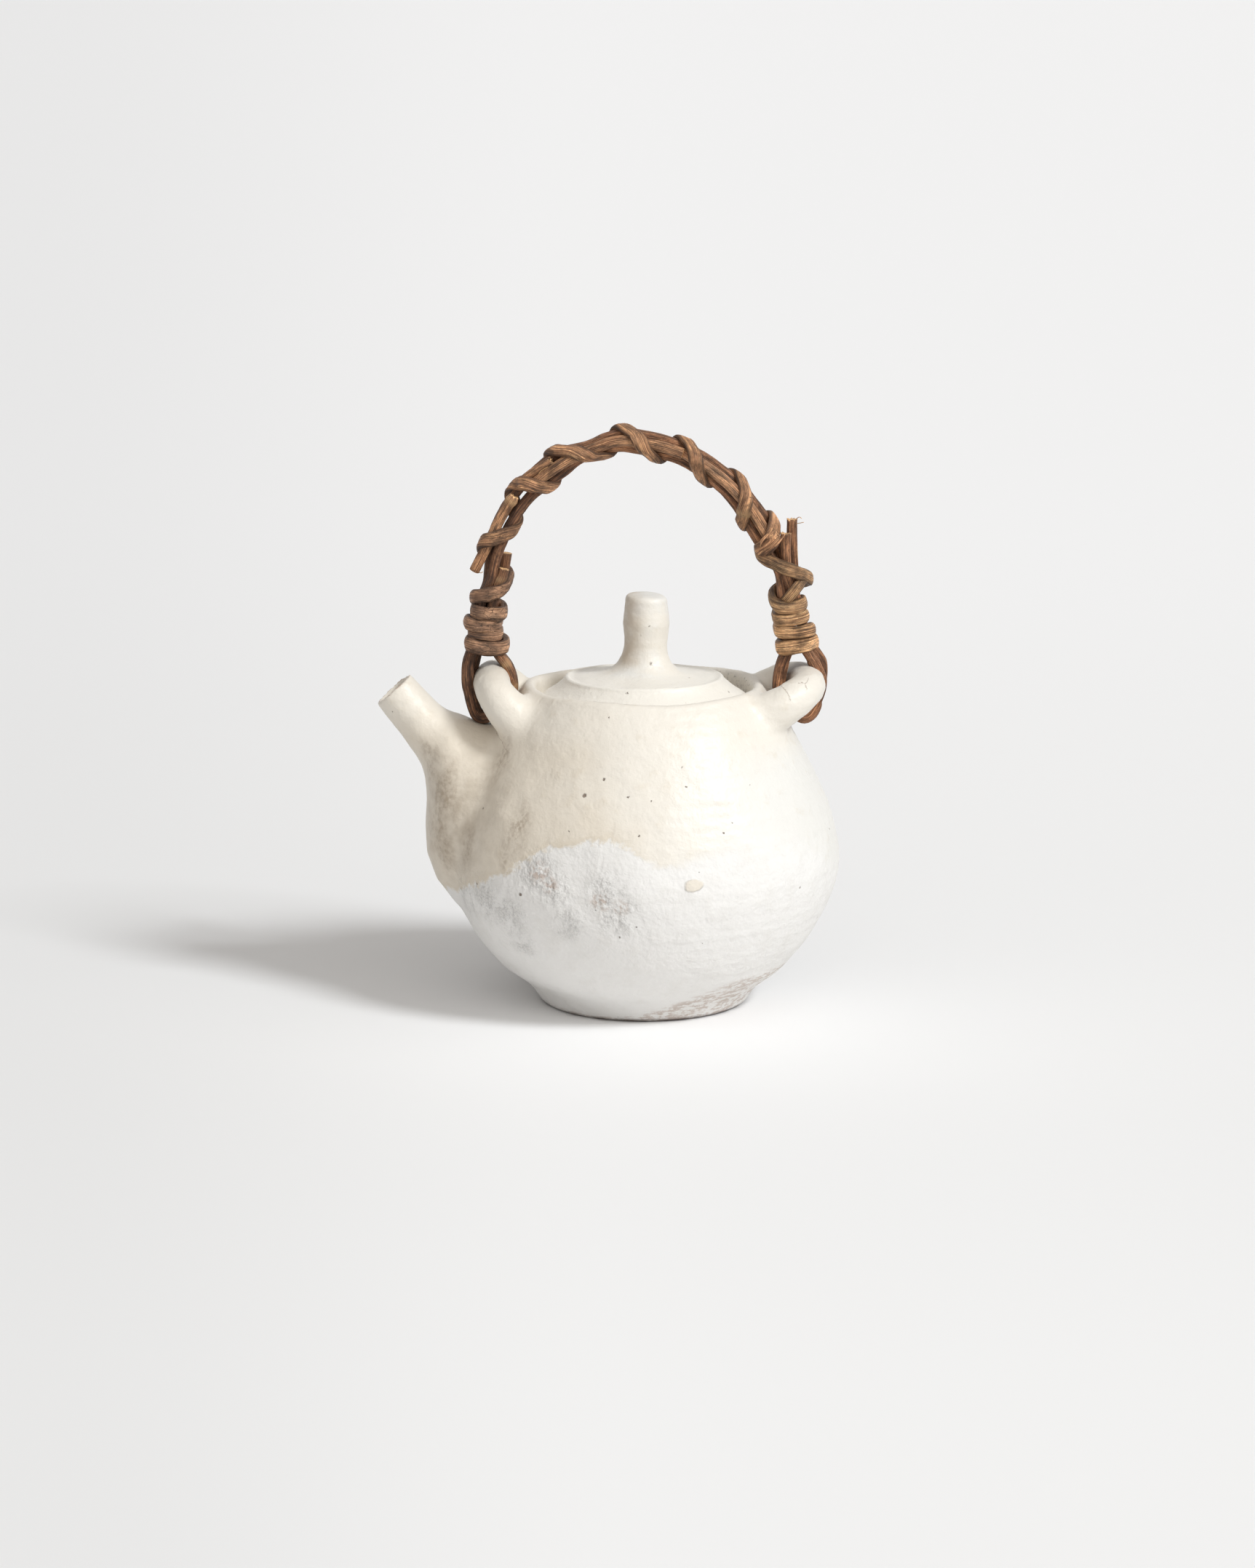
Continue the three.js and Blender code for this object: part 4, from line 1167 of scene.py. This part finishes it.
def glazeMaterial():
    g = glazeSettings
    strength, depth = g["strength"], g["relief"]
    material, tree, shader = newMaterial("creamGlazeAndSlip")
    place = millimetres(tree)
    x, y, height = axesOf(place)
    broad, middle, fine, tiny = (grain(place, *waves) for waves in g["grains"])

    # Edge of the cream glaze over the white slip, which runs round the belly
    around = between(y.maths("ARCTAN2", x), -math.pi, math.pi, kind="LINEAR")
    curve = addNode(tree, "FloatCurve", {"Value": around})
    line = curve.mapping.curves[0]
    knots = [((azimuth + 180) / 360, level / g["lineSpan"]) for azimuth, level in g["glazeLine"]]
    line.points[0].location, line.points[-1].location = knots[0], knots[-1]
    for knot in knots[1:-1]:
        line.points.new(*knot)
    curve.mapping.update()
    edge = Value(tree, curve.outputs[0]) * g["lineSpan"]
    ragged = (middle - 0.5) * g["edgeRagged"][0] + (fine - 0.5) * g["edgeRagged"][1]
    above = height + ragged - edge
    glazed = between(above / between(x, *g["edgeSoft"]), -1.0, 1.0)

    # Cream glaze, mottled, warmer where it is thick, with painted shade towards the spout and painted light on the far
    # side
    towardsSpout = x + (broad - 0.5) * 60.0
    # Darker, warmer cream towards the spout: partly thicker glaze, partly painted shade
    thickAndShaded = between(towardsSpout, *g["thickShadeAcross"]) * between(height, *g["thickShadeUp"])
    cream = blendColour(thickAndShaded, g["cream"], g["creamThickAndShaded"])
    # Painted light: paler, cooler cream on the lit side away from the spout
    litSide = between(towardsSpout, *g["litAcross"]) * between(height, *g["litUp"])
    cream = blendColour(litSide, cream, g["creamCoolAndLit"])
    cream = blendColour(between(middle, 0.55, 0.8, 0, 0.45), cream, g["creamDeep"])
    smoked = spots(place, g["smoke"], 0.55) * between(middle, 0.3, 0.65, 0.35, 1.0)
    cream = blendColour(smoked * strength["smoke"], cream, g["creamSmoked"])
    stains = [(sx, sy, sz * 0.5, size) for sx, sy, sz, size in g["stains"]]
    stained = spots(scaled(place, (1, 1, 0.5)), stains, 0.8)
    stained = stained * between(middle, 0.33, 0.6, 0.25, 1.0) * between(fine, 0.4, 0.62, 0.3, 1.0)
    cream = blendColour(stained * strength["stains"], cream, g["stain"])
    thick = between((above - 1.2).maths("ABSOLUTE"), 1.6, 0.2) * between(x, 10, -20)
    cream = blendColour(thick * strength["edge"], cream, g["creamDeep"])

    # White slip, chalky, thin and grey in places
    slip = blendColour(between(middle, 0.45, 0.75, 0, 0.55), g["slip"], g["slipShade"])
    thin = spots(place, g["greyPlaces"], 0.75) * between(middle, 0.34, 0.62, 0.15, 1)
    speckle = between(grain(place, 1.5, 3, 0.6), 0.38, 0.66, 0.25, 1)
    slip = blendColour(thin * speckle * strength["thin"], slip, g["grey"])
    rust = spots(place, g["rustPlaces"], 0.7) * between(fine, 0.42, 0.62)
    slip = blendColour(rust * strength["rust"], slip, g["bareClay"])
    colour = blendColour(glazed, slip, cream)

    # A drop of glaze on the slip
    squash = (0.8, 0.8, 1.15)
    offBlob = scaled(place, squash).vectorMaths("DISTANCE", {1: tuple(np.multiply(g["blob"], squash))}, "Value")
    blob = between(offBlob - (middle * 3.0 + 1.1), 0.3, -0.5)
    colour = blendColour(blob * strength["blob"], colour, g["creamThickAndShaded"])

    # Bare clay: a streaky brown band at the front of the foot, and a dark edge where it stands
    streaks = grain(scaled(place, (0.17, 0.17, 0.85)), 1.0, 5, 0.7)
    bandTop = between(x, *g["bandTop"])
    inBand = between(height - bandTop, 0.8, -2.2) * between(y, *g["bandFront"])
    bare = inBand * between(streaks + fine * 0.5, 0.70, 0.84)
    colour = blendColour(bare * strength["band"], colour, g["bareClay"])
    standing = between(height, 1.9, 0.3) * between(middle, 0.3, 0.55, 0.3, 1)
    colour = blendColour(most([standing * strength["standing"], between(height, 0.25, 0.1)]), colour, g["darkClay"])

    # Raw rough places: inside the rim, on the spout's lip
    rim = between(height, *g["rimFrom"]) * between(height, *g["rimTo"])
    radius = scaled(place, (1, 1, 0)).vectorMaths("LENGTH", {}, "Value")
    within = rim * between(radius, *g["rimRadius"]) * between(x + y, 10, 34)
    colour = blendColour(within * between(fine, 0.4, 0.7, 0, 0.2), colour, g["grey"])
    rusty = within * between(grain(place, 0.9, 3, 0.6), 0.58, 0.68)
    colour = blendColour(rusty * strength["rimRust"], colour, g["darkClay"])
    lean = math.radians(spoutSettings["tipLean"])
    outward = (-math.cos(lean), 0, math.sin(lean))
    reach = spoutSettings["tip"][0] * outward[0] + spoutSettings["tip"][1] * outward[2]
    along = place.vectorMaths("DOT_PRODUCT", {1: outward}, "Value")
    spoutLip = between(along + fine * 1.4, reach + 0.3, reach + 0.9)
    colour = blendColour(spoutLip * strength["spoutLip"], colour, g["bareClay"])

    # Pits: the ones the pot shows, and a scatter of small ones
    shaken = shakenPlace(place)
    placed = [(*unshaken(wallPoint(azimuth, level)), size * 0.55) for azimuth, level, size in g["pits"]]
    pits = most([spots(shaken, placed, 0.5), scatteredPits(shaken, 0.135, 0.4, 0.065) * 0.8])
    colour = blendColour(pits * strength["pits"], colour, g["pit"])

    # Hairline cracks by the lugs, drawn as seen from the front
    frontOn = scaled(shaken, (1, 0, 1))
    lines = []
    for crack in g["cracks"]:
        for ends in zip(crack, crack[1:]):
            start, end = (Vector(unshaken((cx, 0, cz))) * Vector((1, 0, 1)) for cx, cz in ends)
            run = end - start
            off = frontOn.vectorMaths("SUBTRACT", {1: start})
            share = off.vectorMaths("DOT_PRODUCT", {1: run / run.length_squared}, "Value").maths("ADD", 0.0, True)
            near = made(tree, "VectorMath", {0: run, "Scale": share}, operation="SCALE")
            gap = off.vectorMaths("DISTANCE", {1: near}, "Value")
            lines.append(between(gap + fine * 0.3, 0.31, 0.15))
    cracked = most(lines) * between(y, *g["cracksFront"])
    colour = blendColour(cracked * strength["cracks"], colour, g["crack"])

    rough = between(glazed, 0, 1, 0.72, 0.36) + fine * 0.12
    rough = most([rough, most([bare, standing, pits]) * 0.85])
    peel = grain(place, 0.7, 2, 0.45) * between(glazed, 0, 1, 0.24, 0.10)
    crawl = grain(scaled(place, (0.55, 0.55, 0.33)), 1.0, 3, 0.5, 0.4) * thin * depth["crawl"]
    relief = peel + (middle * depth["middle"] + crawl) + tiny * depth["tiny"] + glazed * depth["edge"]
    relief = relief + blob * depth["blob"] - pits * depth["pits"] - cracked * depth["cracks"]
    finishShader(shader, colour, rough, g["specular"], relief)
    return material


potBody.data.materials.clear()
potBody.data.materials.append(glazeMaterial())
print("pot glazed")


# Lid glaze: the same cream, with its own marks

lidGlazeSettings = {
    "plate": (0.86, 0.825, 0.755),
    "knobPaintedShade": (0.50, 0.41, 0.31),
    "grains": [(0.06, 3), (0.21, 4), (0.7, 4)],
    "plateTop": (113.5, 111),
    "knobShadeAcross": (2.5, -6.5),
    "knobShadeUp": (112.5, 118),
    "ringHeight": 110.0,
    "bareBelow": (103.2, 102.4),
    "strength": {"knobPaintedShade": 0.8, "worn": 0.35, "pits": 0.75},
    "marks": [
        (-9.8, -16.6, 111.4, 0.5), (11.2, -14.7, 111.6, 0.6), (16.8, -11.4, 111.3, 0.5), (28.4, -9.7, 107.3, 0.7),
        (-5.7, -26.4, 109.5, 0.5), (-15.7, -24.2, 108.2, 0.45), (2.3, -8.8, 116.4, 0.9), (5.9, -4.6, 129.7, 0.8),
        (1.6, -7.5, 128.7, 0.4), (-3.9, -6.3, 133.6, 0.4), (-1.6, -7.5, 122.8, 0.35), (-6.0, 5.0, 127.5, 0.5),
        (14.5, 14.2, 111.9, 0.6), (-24.0, 17.0, 107.4, 0.6),
    ],
}


def lidMaterial():
    g, own = glazeSettings, lidGlazeSettings
    strength = own["strength"]
    material, tree, shader = newMaterial("lidGlaze")
    place = millimetres(tree)
    x, _, height = axesOf(place)
    broad, middle, fine = (grain(place, *waves) for waves in own["grains"])
    colour = blendColour(between(broad, 0.4, 0.6), g["cream"], g["creamCoolAndLit"])
    colour = blendColour(between(middle, 0.55, 0.82, 0, 0.4), colour, g["creamDeep"])
    # Painted light: the plate below the knob painted paler
    colour = blendColour(between(height, *own["plateTop"]), colour, own["plate"])
    # Painted shade: the knob's left side darkened to a warm brown
    knobPaintedShade = between(x, *own["knobShadeAcross"]) * between(height, *own["knobShadeUp"]) * between(middle, 0.3, 0.6, 0.6, 1.0)
    colour = blendColour(knobPaintedShade * strength["knobPaintedShade"], colour, own["knobPaintedShade"])
    worn = between((height - own["ringHeight"]).maths("ABSOLUTE"), 0.8, 0.1) * between(fine, 0.5, 0.66)
    colour = blendColour(worn * strength["worn"], colour, g["slipShade"])
    shaken = shakenPlace(place)
    marks = [(*unshaken(mark[:3]), mark[3] * 0.7) for mark in own["marks"]]
    pits = most([spots(shaken, marks, 0.5), scatteredPits(shaken, 0.19, 0.35, 0.07) * 0.7])
    colour = blendColour(pits * strength["pits"], colour, g["pit"])
    bareUnder = between(height, *own["bareBelow"])
    colour = blendColour(bareUnder * between(fine, 0.3, 0.6, 0.4, 0.9), colour, g["bareClay"])
    rough = between(fine, 0.3, 0.7, 0.36, 0.52) + bareUnder * 0.35
    relief = grain(place, 0.85, 3, 0.5) * 0.15 + middle * 0.35 - pits * 0.4
    finishShader(shader, colour, rough, g["specular"], relief)
    return material


lid.data.materials.clear()
lid.data.materials.append(lidMaterial())


# Cane: bark ridged along the strand, paler where it is rubbed, cracked across its bends, with painted shade in its
# grooves and on its flanks and painted highlights along its fibres

caneSettings = {
    "coreBark": {
        "highlight": (0.50, 0.25, 0.125), "light": (0.33, 0.155, 0.075), "mid": (0.17, 0.073, 0.035),
        "dark": (0.030, 0.013, 0.008), "flaky": 0.3, "flankShade": 0.25,
    },
    "fillerBark": {
        "highlight": (0.66, 0.37, 0.19), "light": (0.43, 0.225, 0.112), "mid": (0.235, 0.108, 0.051),
        "dark": (0.040, 0.017, 0.009), "flaky": 0.3, "flankShade": 0.25,
    },
    "wrapBark": {
        "highlight": (0.66, 0.38, 0.19), "light": (0.42, 0.22, 0.11), "mid": (0.22, 0.105, 0.052),
        "dark": (0.035, 0.016, 0.009), "flaky": 0.5, "flankShade": 0.75,
    },
    "leftBark": {
        "highlight": (0.54, 0.32, 0.19), "light": (0.34, 0.19, 0.11), "mid": (0.185, 0.096, 0.054),
        "dark": (0.035, 0.018, 0.011), "flaky": 0.9, "flankShade": 0.75,
    },
    "rightBark": {
        "highlight": (0.86, 0.56, 0.29), "light": (0.64, 0.37, 0.18), "mid": (0.42, 0.22, 0.10),
        "dark": (0.055, 0.024, 0.011), "flaky": 0.35, "flankShade": 0.75,
    },
    "cutEnd": {
        "highlight": (0.7, 0.47, 0.25), "light": (0.60, 0.38, 0.19), "mid": (0.45, 0.26, 0.12),
        "dark": (0.2, 0.1, 0.045), "flaky": 0.0, "flankShade": 0.25,
    },
}


barkSettings = {
    "specular": 0.4,
    "bumpHeight": 0.9,
    "cloud": (0.34, 0.66, 0.48, 2.05),
    "strength": {"grooveShade": 0.85, "fibres": 0.8, "cracks": 0.85, "dusk": 0.5, "worn": 0.6},
    "relief": {"fibres": 0.6, "mottle": 0.2, "breaks": 0.3},
}


def caneMaterial(name):
    c, own = caneSettings[name], barkSettings
    strength, depth = own["strength"], own["relief"]
    material, tree, shader = newMaterial(name)
    flat = made(tree, "UVMap", {}, uv_map="strand")
    solid = millimetres(tree)
    grooves, shade, rubbed, flankShade = (
        made(tree, "Attribute", {}, "Fac", attribute_name=key) for key in ("groove", "shade", "rubbed", "flankShade")
    )

    def barkGrain(across, along, detail, rough, shift=(0, 0, 0)):
        return grain(scaled(flat, (across, along, 1), shift), 1.0, detail, rough)

    fibres = barkGrain(3.5, 0.05, 4, 0.7)
    streaks = barkGrain(1.05, 0.02, 3, 0.6, (3, 7, 0))
    patches = grain(solid, 0.12, 3)
    mottle = grain(solid, 0.9, 4, 0.6)
    tone = streaks + patches * 0.75 + mottle * 0.35
    colour = blendColour(between(tone, 0.82, 1.24), c["mid"], c["light"])
    # Painted shade in the grooves between the ridges
    grooveShade = between(grooves, 0.5, 0.05) * between(streaks, 0.3, 0.7, 1.0, 0.5)
    colour = blendColour(grooveShade * strength["grooveShade"], colour, c["dark"])
    # Painted shade in the hollows of the fibre relief, and painted highlights on its crests
    colour = blendColour(between(fibres, 0.50, 0.38) * strength["fibres"], colour, c["dark"])
    paintedHighlight = between(fibres, 0.53, 0.64) * between(mottle, 0.3, 0.6, 0.2, 0.9)
    colour = blendColour(paintedHighlight, colour, c["highlight"])

    # Flakes along the bark, cracks across it, and slow changes of tone
    cells = made(tree, "TexVoronoi", {
        "Vector": scaled(flat, (0.75, 0.4, 1)), "Scale": 1.0, "Randomness": 1.0,
    }, "Distance", feature="DISTANCE_TO_EDGE")
    flaking = between(cells, 0.06, 0.01) * between(mottle, 0.42, 0.6) * between(patches, 0.4, 0.6, 0.1, c["flaky"])
    colour = blendColour(flaking, colour, c["dark"])
    crack = between(barkGrain(0.3, 1.7, 3, 0.7, (11, 2, 0)), 0.36, 0.31) * between(patches, 0.42, 0.56)
    colour = blendColour(crack * strength["cracks"], colour, c["dark"])
    # Painted shade: broad dark patches laid at random
    colour = blendColour(between(grain(solid, 0.075, 2), 0.54, 0.7) * strength["dusk"], colour, c["dark"])
    cloud = between(barkGrain(0.55, 0.14, 5, 0.72, (5, 1, 0)), *own["cloud"])
    colour = colour.vectorMaths("SCALE", {"Scale": cloud})
    # Painted shade on the strand's flanks
    colour = blendColour(flankShade * c["flankShade"], colour, c["dark"])
    worn = rubbed * between(mottle, 0.3, 0.6, 0.45, 1.0)
    colour = blendColour(worn * strength["worn"], colour, caneSettings["cutEnd"]["light"])
    colour = colour.vectorMaths("SCALE", {"Scale": shade})
    rough = between(tone, 0.7, 1.3, 0.6, 0.42)
    relief = fibres * depth["fibres"] + mottle * depth["mottle"] - most([crack, flaking]) * depth["breaks"]
    finishShader(shader, colour, rough, own["specular"], relief, own["bumpHeight"] * mm)
    return material


cutEnd = caneMaterial("cutEnd")


def barked(piece, bark):
    piece.data.materials.append(bark)
    piece.data.materials.append(cutEnd)
    return piece


def sideways(path, vector=(0, 1, 0)):
    return np.tile(np.array(vector, float), (len(path), 1))


def joined(name, pieces):
    onlySelect(*pieces)
    bpy.ops.object.join()
    return named(name)


# A loose thread of torn bark
def fibre(name, points, seed, width=0.34):
    path = spline(points, 6)
    look = {"seed": seed, "sides": 8, "ridges": 2, "ridgeDepth": 0, "step": 0.5, "shades": 1.1}
    return barked(strand(name, path, sideways(path, (0.3, 0.2, 1)), width, width * 0.7, look), cutEnd)


coreBark, fillerBark = caneMaterial("coreBark"), caneMaterial("fillerBark")
wrapBark, leftBark, rightBark = caneMaterial("wrapBark"), caneMaterial("leftBark"), caneMaterial("rightBark")
corePaths = {which: coreCane(which) for which in (-1, 1)}
lowLine, highLine, sideLow, sideHigh = map(besideLine, ("fillerLow", "fillerHigh", "sideLow", "sideHigh"))


# Long canes: flattened where they bend round the lugs, with painted shade darkest on the left.
# Rows of legs are: from and to across the pot, and how much wider or narrower.
coreSettings = {
    "loopBelow": (113, 121),
    "loopWidth": 3.3,
    "underLug": 0.8,
    "legsAbove": (99, 103),
    "wideLegs": [(-70, -55, 0.9), (0, 50, 0.9)],
    "thinLegs": [(-46, 0, 0.7), (58, 70, 0.9)],
    "thinBelow": (107, 113),
    "swollenLegs": [(56, 70, 1.1)],
    "swollenAbove": (112, 116),
    "leftLoopShade": (-54, -50, 0.45),
    "leftArchShade": (-44, -18, 0.38),
    "leftArchShadeAbove": (138, 144),
}


def legs(x, rows):
    return sum(size * ((x > low) & (x < high)) for low, high, size in rows)


def coreWidths(path):
    s = coreSettings
    x, z = path[:, 0], path[:, 2]
    upright = smoothStep(z, *s["legsAbove"])
    thinner = legs(x, s["thinLegs"]) * (1 - smoothStep(z, *s["thinBelow"]))
    loop = s["loopWidth"] + s["underLug"] * (1 - upright) + upright * (legs(x, s["wideLegs"]) - thinner)
    loop += legs(x, s["swollenLegs"]) * smoothStep(z, *s["swollenAbove"])
    return hs["coreWidth"] + (loop - hs["coreWidth"]) * (1 - smoothStep(z, *s["loopBelow"]))


# Painted shade: the left loop's outer leg and the left of the arch darkened
def coreShades(path):
    s = coreSettings
    outerLeft = 1 - smoothStep(path[:, 0], *s["leftLoopShade"][:2])
    archLeft = (1 - smoothStep(path[:, 0], *s["leftArchShade"][:2])) * smoothStep(path[:, 2], *s["leftArchShadeAbove"])
    return 1 - s["leftLoopShade"][2] * outerLeft - s["leftArchShade"][2] * archLeft * (1 - outerLeft)


cores = {
    "coreCaneFront": (-1, "core_cane_front", {
        "seed": 11, "nodes": [(4, 0.05), (34, 0.02), (42, 0)], "tornStart": 0.5, "tornEnd": 1.1,
    }),
    "coreCaneBack": (1, "core_cane_back", {
        "seed": 23, "nodes": [(260, 0.06)], "tornStart": 0.2, "tornEnd": 1.3,
    }),
}
for name, (which, node, look) in cores.items():
    path = corePaths[which]
    look["shades"] = coreShades(path)
    pieces = [barked(strand(name, path, sideways(path), coreWidths(path), hs["coreThickness"], look), coreBark)]
    if which > 0:
        pieces += [
            fibre("splitA", [(50.2, 1.6, 162.8), (51.6, 1.2, 164.2), (52.2, 1.0, 163.6)], 201),
            fibre("splitB", [(50.2, 1.2, 161.8), (51.6, 0.9, 162.0), (52.9, 0.6, 162.3)], 202),
            fibre("splitC", [(50.4, 0.8, 149.6), (51.0, -0.2, 151.4), (50.7, -0.4, 153.2)], 204, 0.26),
        ]
    piece = joined(name, pieces)
    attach(piece, "handle")
    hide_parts(node)
print("core canes laid")

archCane = joined("archCane", [
    barked(strand("fillerLow", lowLine, sideways(lowLine), 3.7, 4.3, {"seed": 31, "tornEnd": 0.5}), fillerBark),
    barked(strand("fillerHigh", highLine, sideways(highLine), 3.7, 4.2, {"seed": 37, "shades": 1.08}), fillerBark),
    barked(strand("sideHigh", sideHigh, sideways(sideHigh), 2.8, 3.2, {"seed": 41, "tornEnd": 2.4}), fillerBark),
    fibre("frayA", [(-35.8, -3.2, 177.6), (-34.2, -4.4, 180.0), (-32.0, -4.2, 181.4)], 205),
])
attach(archCane, "handle")
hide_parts("arch_cane")


# Windings: each pass climbs where it does on the real handle

windSettings = {
    "wrap": {
        "climb": [
            (-0.45, 9), (-0.25, 12), (0.25, 22.4), (0.75, 34.3), (1.25, 42.4), (1.75, 51.4), (2.25, 65.8),
            (2.75, 74.6), (3.25, 86.2), (3.75, 94.6), (4.25, 105.6), (4.75, 115.8), (4.95, 121), (5.25, 127.4),
            (5.75, 132.6), (6.25, 140.2), (6.5, 143),
        ],
        "shift": [(0, 0)],
        "stand": [(-0.5, -0.55), (5.5, -0.55), (5.8, -0.1), (6.3, -0.2), (6.5, -0.6)],
        "width": [(-0.5, 4.2), (0, 4.8), (2, 4.9), (5.4, 4.8), (5.8, 5.7), (6.5, 5.4)],
        "shade": [
            (-0.5, 0.8), (0.3, 0.82), (0.6, 1.1), (1, 1.25), (1.5, 1.1), (2, 1.05), (4, 1.0), (5, 0.95), (5.6, 1.0),
            (5.85, 1.25), (6.5, 1.2),
        ],
        "thickness": 2.4,
        "lastPass": 5.2,
        "slivers": [
            (-1.7, 1.3, 1.5, 5.92, 6.16), (-0.5, 1.0, 1.7, 5.95, 6.2), (0.8, 1.2, 0.85, 5.92, 6.14),
            (1.9, 0.9, 1.6, 5.93, 6.22),
        ],
    },
    "left": {
        "climb": [
            (0, 0.6), (0.25, 2.5), (0.5, 1.2), (0.75, 2.9), (1.0, 4.2), (1.25, 5.7), (1.5, 5.4), (1.75, 6.8),
            (2.0, 8.2), (2.25, 9.1), (2.5, 8.9), (2.75, 8.9), (3.0, 11.6), (3.25, 13.5), (3.5, 12.9), (3.75, 13.4),
            (4.0, 15.6), (4.25, 17.6), (4.5, 19.6), (4.65, 22.0), (4.8, 25.4), (4.95, 28.5),
        ],
        "shift": [
            (0, -0.8), (0.75, -0.8), (1.5, -0.6), (2.1, 0.7), (2.75, 0.7), (3.0, -0.9), (3.8, -1.1), (4.1, 0),
        ],
        "stand": [(0, -0.5), (0.5, 0.1), (0.8, 0), (1.2, -0.9), (1.7, -0.9), (2.1, -0.4), (4, -0.4), (5, -0.6)],
        "width": [
            (0, 4.4), (0.5, 5.0), (1, 4.4), (1.5, 4.1), (2.5, 4.5), (3.5, 4.7), (4.5, 4.9), (4.75, 4.2), (4.95, 2.4),
        ],
        "shade": [(0, 1.1), (1, 1.15), (1.5, 1.0), (2.5, 1.1), (3.5, 1.1), (5, 1.12)],
        "thickness": 2.9,
    },
    "right": {
        "climb": [
            (0, 0.9), (0.25, 2.3), (0.5, 2.1), (0.75, 2.1), (0.9, 2.8), (1.0, 4.3), (1.25, 7.0), (1.5, 6.8),
            (1.75, 8.2), (2.0, 10.0), (2.25, 11.7), (2.5, 11.1), (2.75, 12.2), (3.0, 14.6), (3.25, 16.3),
            (3.45, 15.2), (3.6, 16.2), (3.75, 18.8), (3.9, 20.8), (4.0, 21.6), (4.25, 23.4), (4.5, 28.6),
            (4.75, 35.4), (4.85, 37.8),
        ],
        "shift": [(0, -0.5), (1.7, -0.4), (2.2, -0.6), (4.0, -0.5), (4.25, 2.2), (4.4, 1.0), (4.6, 0), (5, 0)],
        "stand": [(0, -0.5), (3, -0.5), (4, -0.3), (4.4, 0.5), (4.6, 0.1), (4.85, -0.9)],
        "width": [(0, 4.9), (0.5, 5.1), (1.5, 4.4), (2.5, 4.4), (3.5, 4.7), (4.2, 4.6), (4.85, 4.4)],
        "shade": [(0, 1.25), (1, 1.1), (1.5, 0.95), (2.5, 0.9), (3.5, 0.72), (4.3, 0.66), (4.85, 0.66)],
        "thickness": 2.9,
    },
}


def windArch(w):
    return windRound(bundle, archLine, archLengths, archNormal, -math.pi / 2, w, 8)


# The last pass has split along its grain
def slivers(w):
    pieces = []
    for index, (aside, size, shade, first, last) in enumerate(w["slivers"]):
        split = dict(w, climb=[(turn, at + aside) for turn, at in w["climb"] if turn > w["lastPass"]])
        path, facings, *_ = windArch(split)
        turns = np.linspace(split["climb"][0][0], split["climb"][-1][0], len(path))
        keep = (turns > first) & (turns < last)
        path = path[keep] + facings[keep] * (w["thickness"] / 2 - 0.15)
        look = {"seed": 80 + index, "sides": 20, "ridges": 5, "tornStart": 0.5, "tornEnd": 0.5, "shades": shade}
        taper = np.interp(np.arange(len(path)), [0, 5, len(path) - 6, len(path) - 1], [0.4, 1, 1, 0.4])
        pieces.append(barked(strand(f"sliver{index}", path, facings[keep], size * taper, 0.8 * taper, look), wrapBark))
    return pieces


bundle = [
    (corePaths[-1], 1.8), (corePaths[1], 1.8), (lowLine, 1.95), (highLine, 1.95), (sideLow, 1.7), (sideHigh, 1.5),
]
w = windSettings["wrap"]
path, facings, widths, shades = windArch(w)
wrapCane = joined("wrapCane", [
    barked(strand("wrapStrand", path, facings, widths, w["thickness"], {
        "seed": 53, "ease": 3, "nodes": [(196, 0.1)], "fullness": 2.3, "ridges": 29, "sides": 96,
        "ridgeDepth": 0.12, "lumpy": 0.13, "shades": shades,
    }), wrapBark),
    barked(strand("sideLow", sideLow, sideways(sideLow), 3.5, 3.6, {
        "seed": 59, "tornEnd": 0.8, "nodes": [(26.5, 0.2)], "shades": 1.1,
    }), fillerBark),
    *slivers(w),
    fibre("curlA", [(-56.0, -3.0, 147.2), (-55.0, -3.6, 146.4), (-54.3, -3.6, 145.7), (-53.7, -3.2, 146.2)], 206),
])
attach(wrapCane, "handle")
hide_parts("wrap_cane")
print("arch wrapped")

slantPoints = [
    (46.8, -3.6, 136.4), (48.4, -5.7, 138.6), (50.2, -5.7, 140.8), (51.7, -4.4, 142.6), (52.8, -2.8, 143.8),
]
for end, name, node, key, bark, slot, seed in (
    (0, "leftBinding", "left_binding", "left", leftBark, "wrap_cane", 61),
    (1, "rightBinding", "right_binding", "right", rightBark, "pale_cane", 71),
):
    w = windSettings[key]
    side = 1 if end else -1
    heights = np.array([hs["bindingLow"], hs["archTop"]])
    line = np.array([(bindingAxis(end, z), 0, z) for z in heights])
    lengths = np.array([0, np.linalg.norm(line[1] - line[0])])
    path, facings, widths, shades = windRound(
        [(corePaths[-1], 1.85), (corePaths[1], 1.85)], line, lengths,
        lambda tangent: archNormal(tangent) * -side, math.pi / 2, w, 12,
    )
    pieces = [barked(strand(name, path, facings, widths, w["thickness"], {
        "seed": seed, "ease": 2, "fullness": 2.3, "ridges": 29, "sides": 96, "ridgeDepth": 0.11, "shades": shades,
        "lumpy": 0.14 if end else 0.21, "tornStart": 0.8,
    }), bark)]
    if end:
        slant = spline(slantPoints, 8)
        pieces.append(barked(strand("slant", slant, sideways(slant), 3.7, 2.6, {
            "seed": 73, "shades": 0.6, "tornEnd": 0.6,
        }), bark))
    binding = joined(name, pieces)
    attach(binding, "handle")
    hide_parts(node)
print("bindings wound")
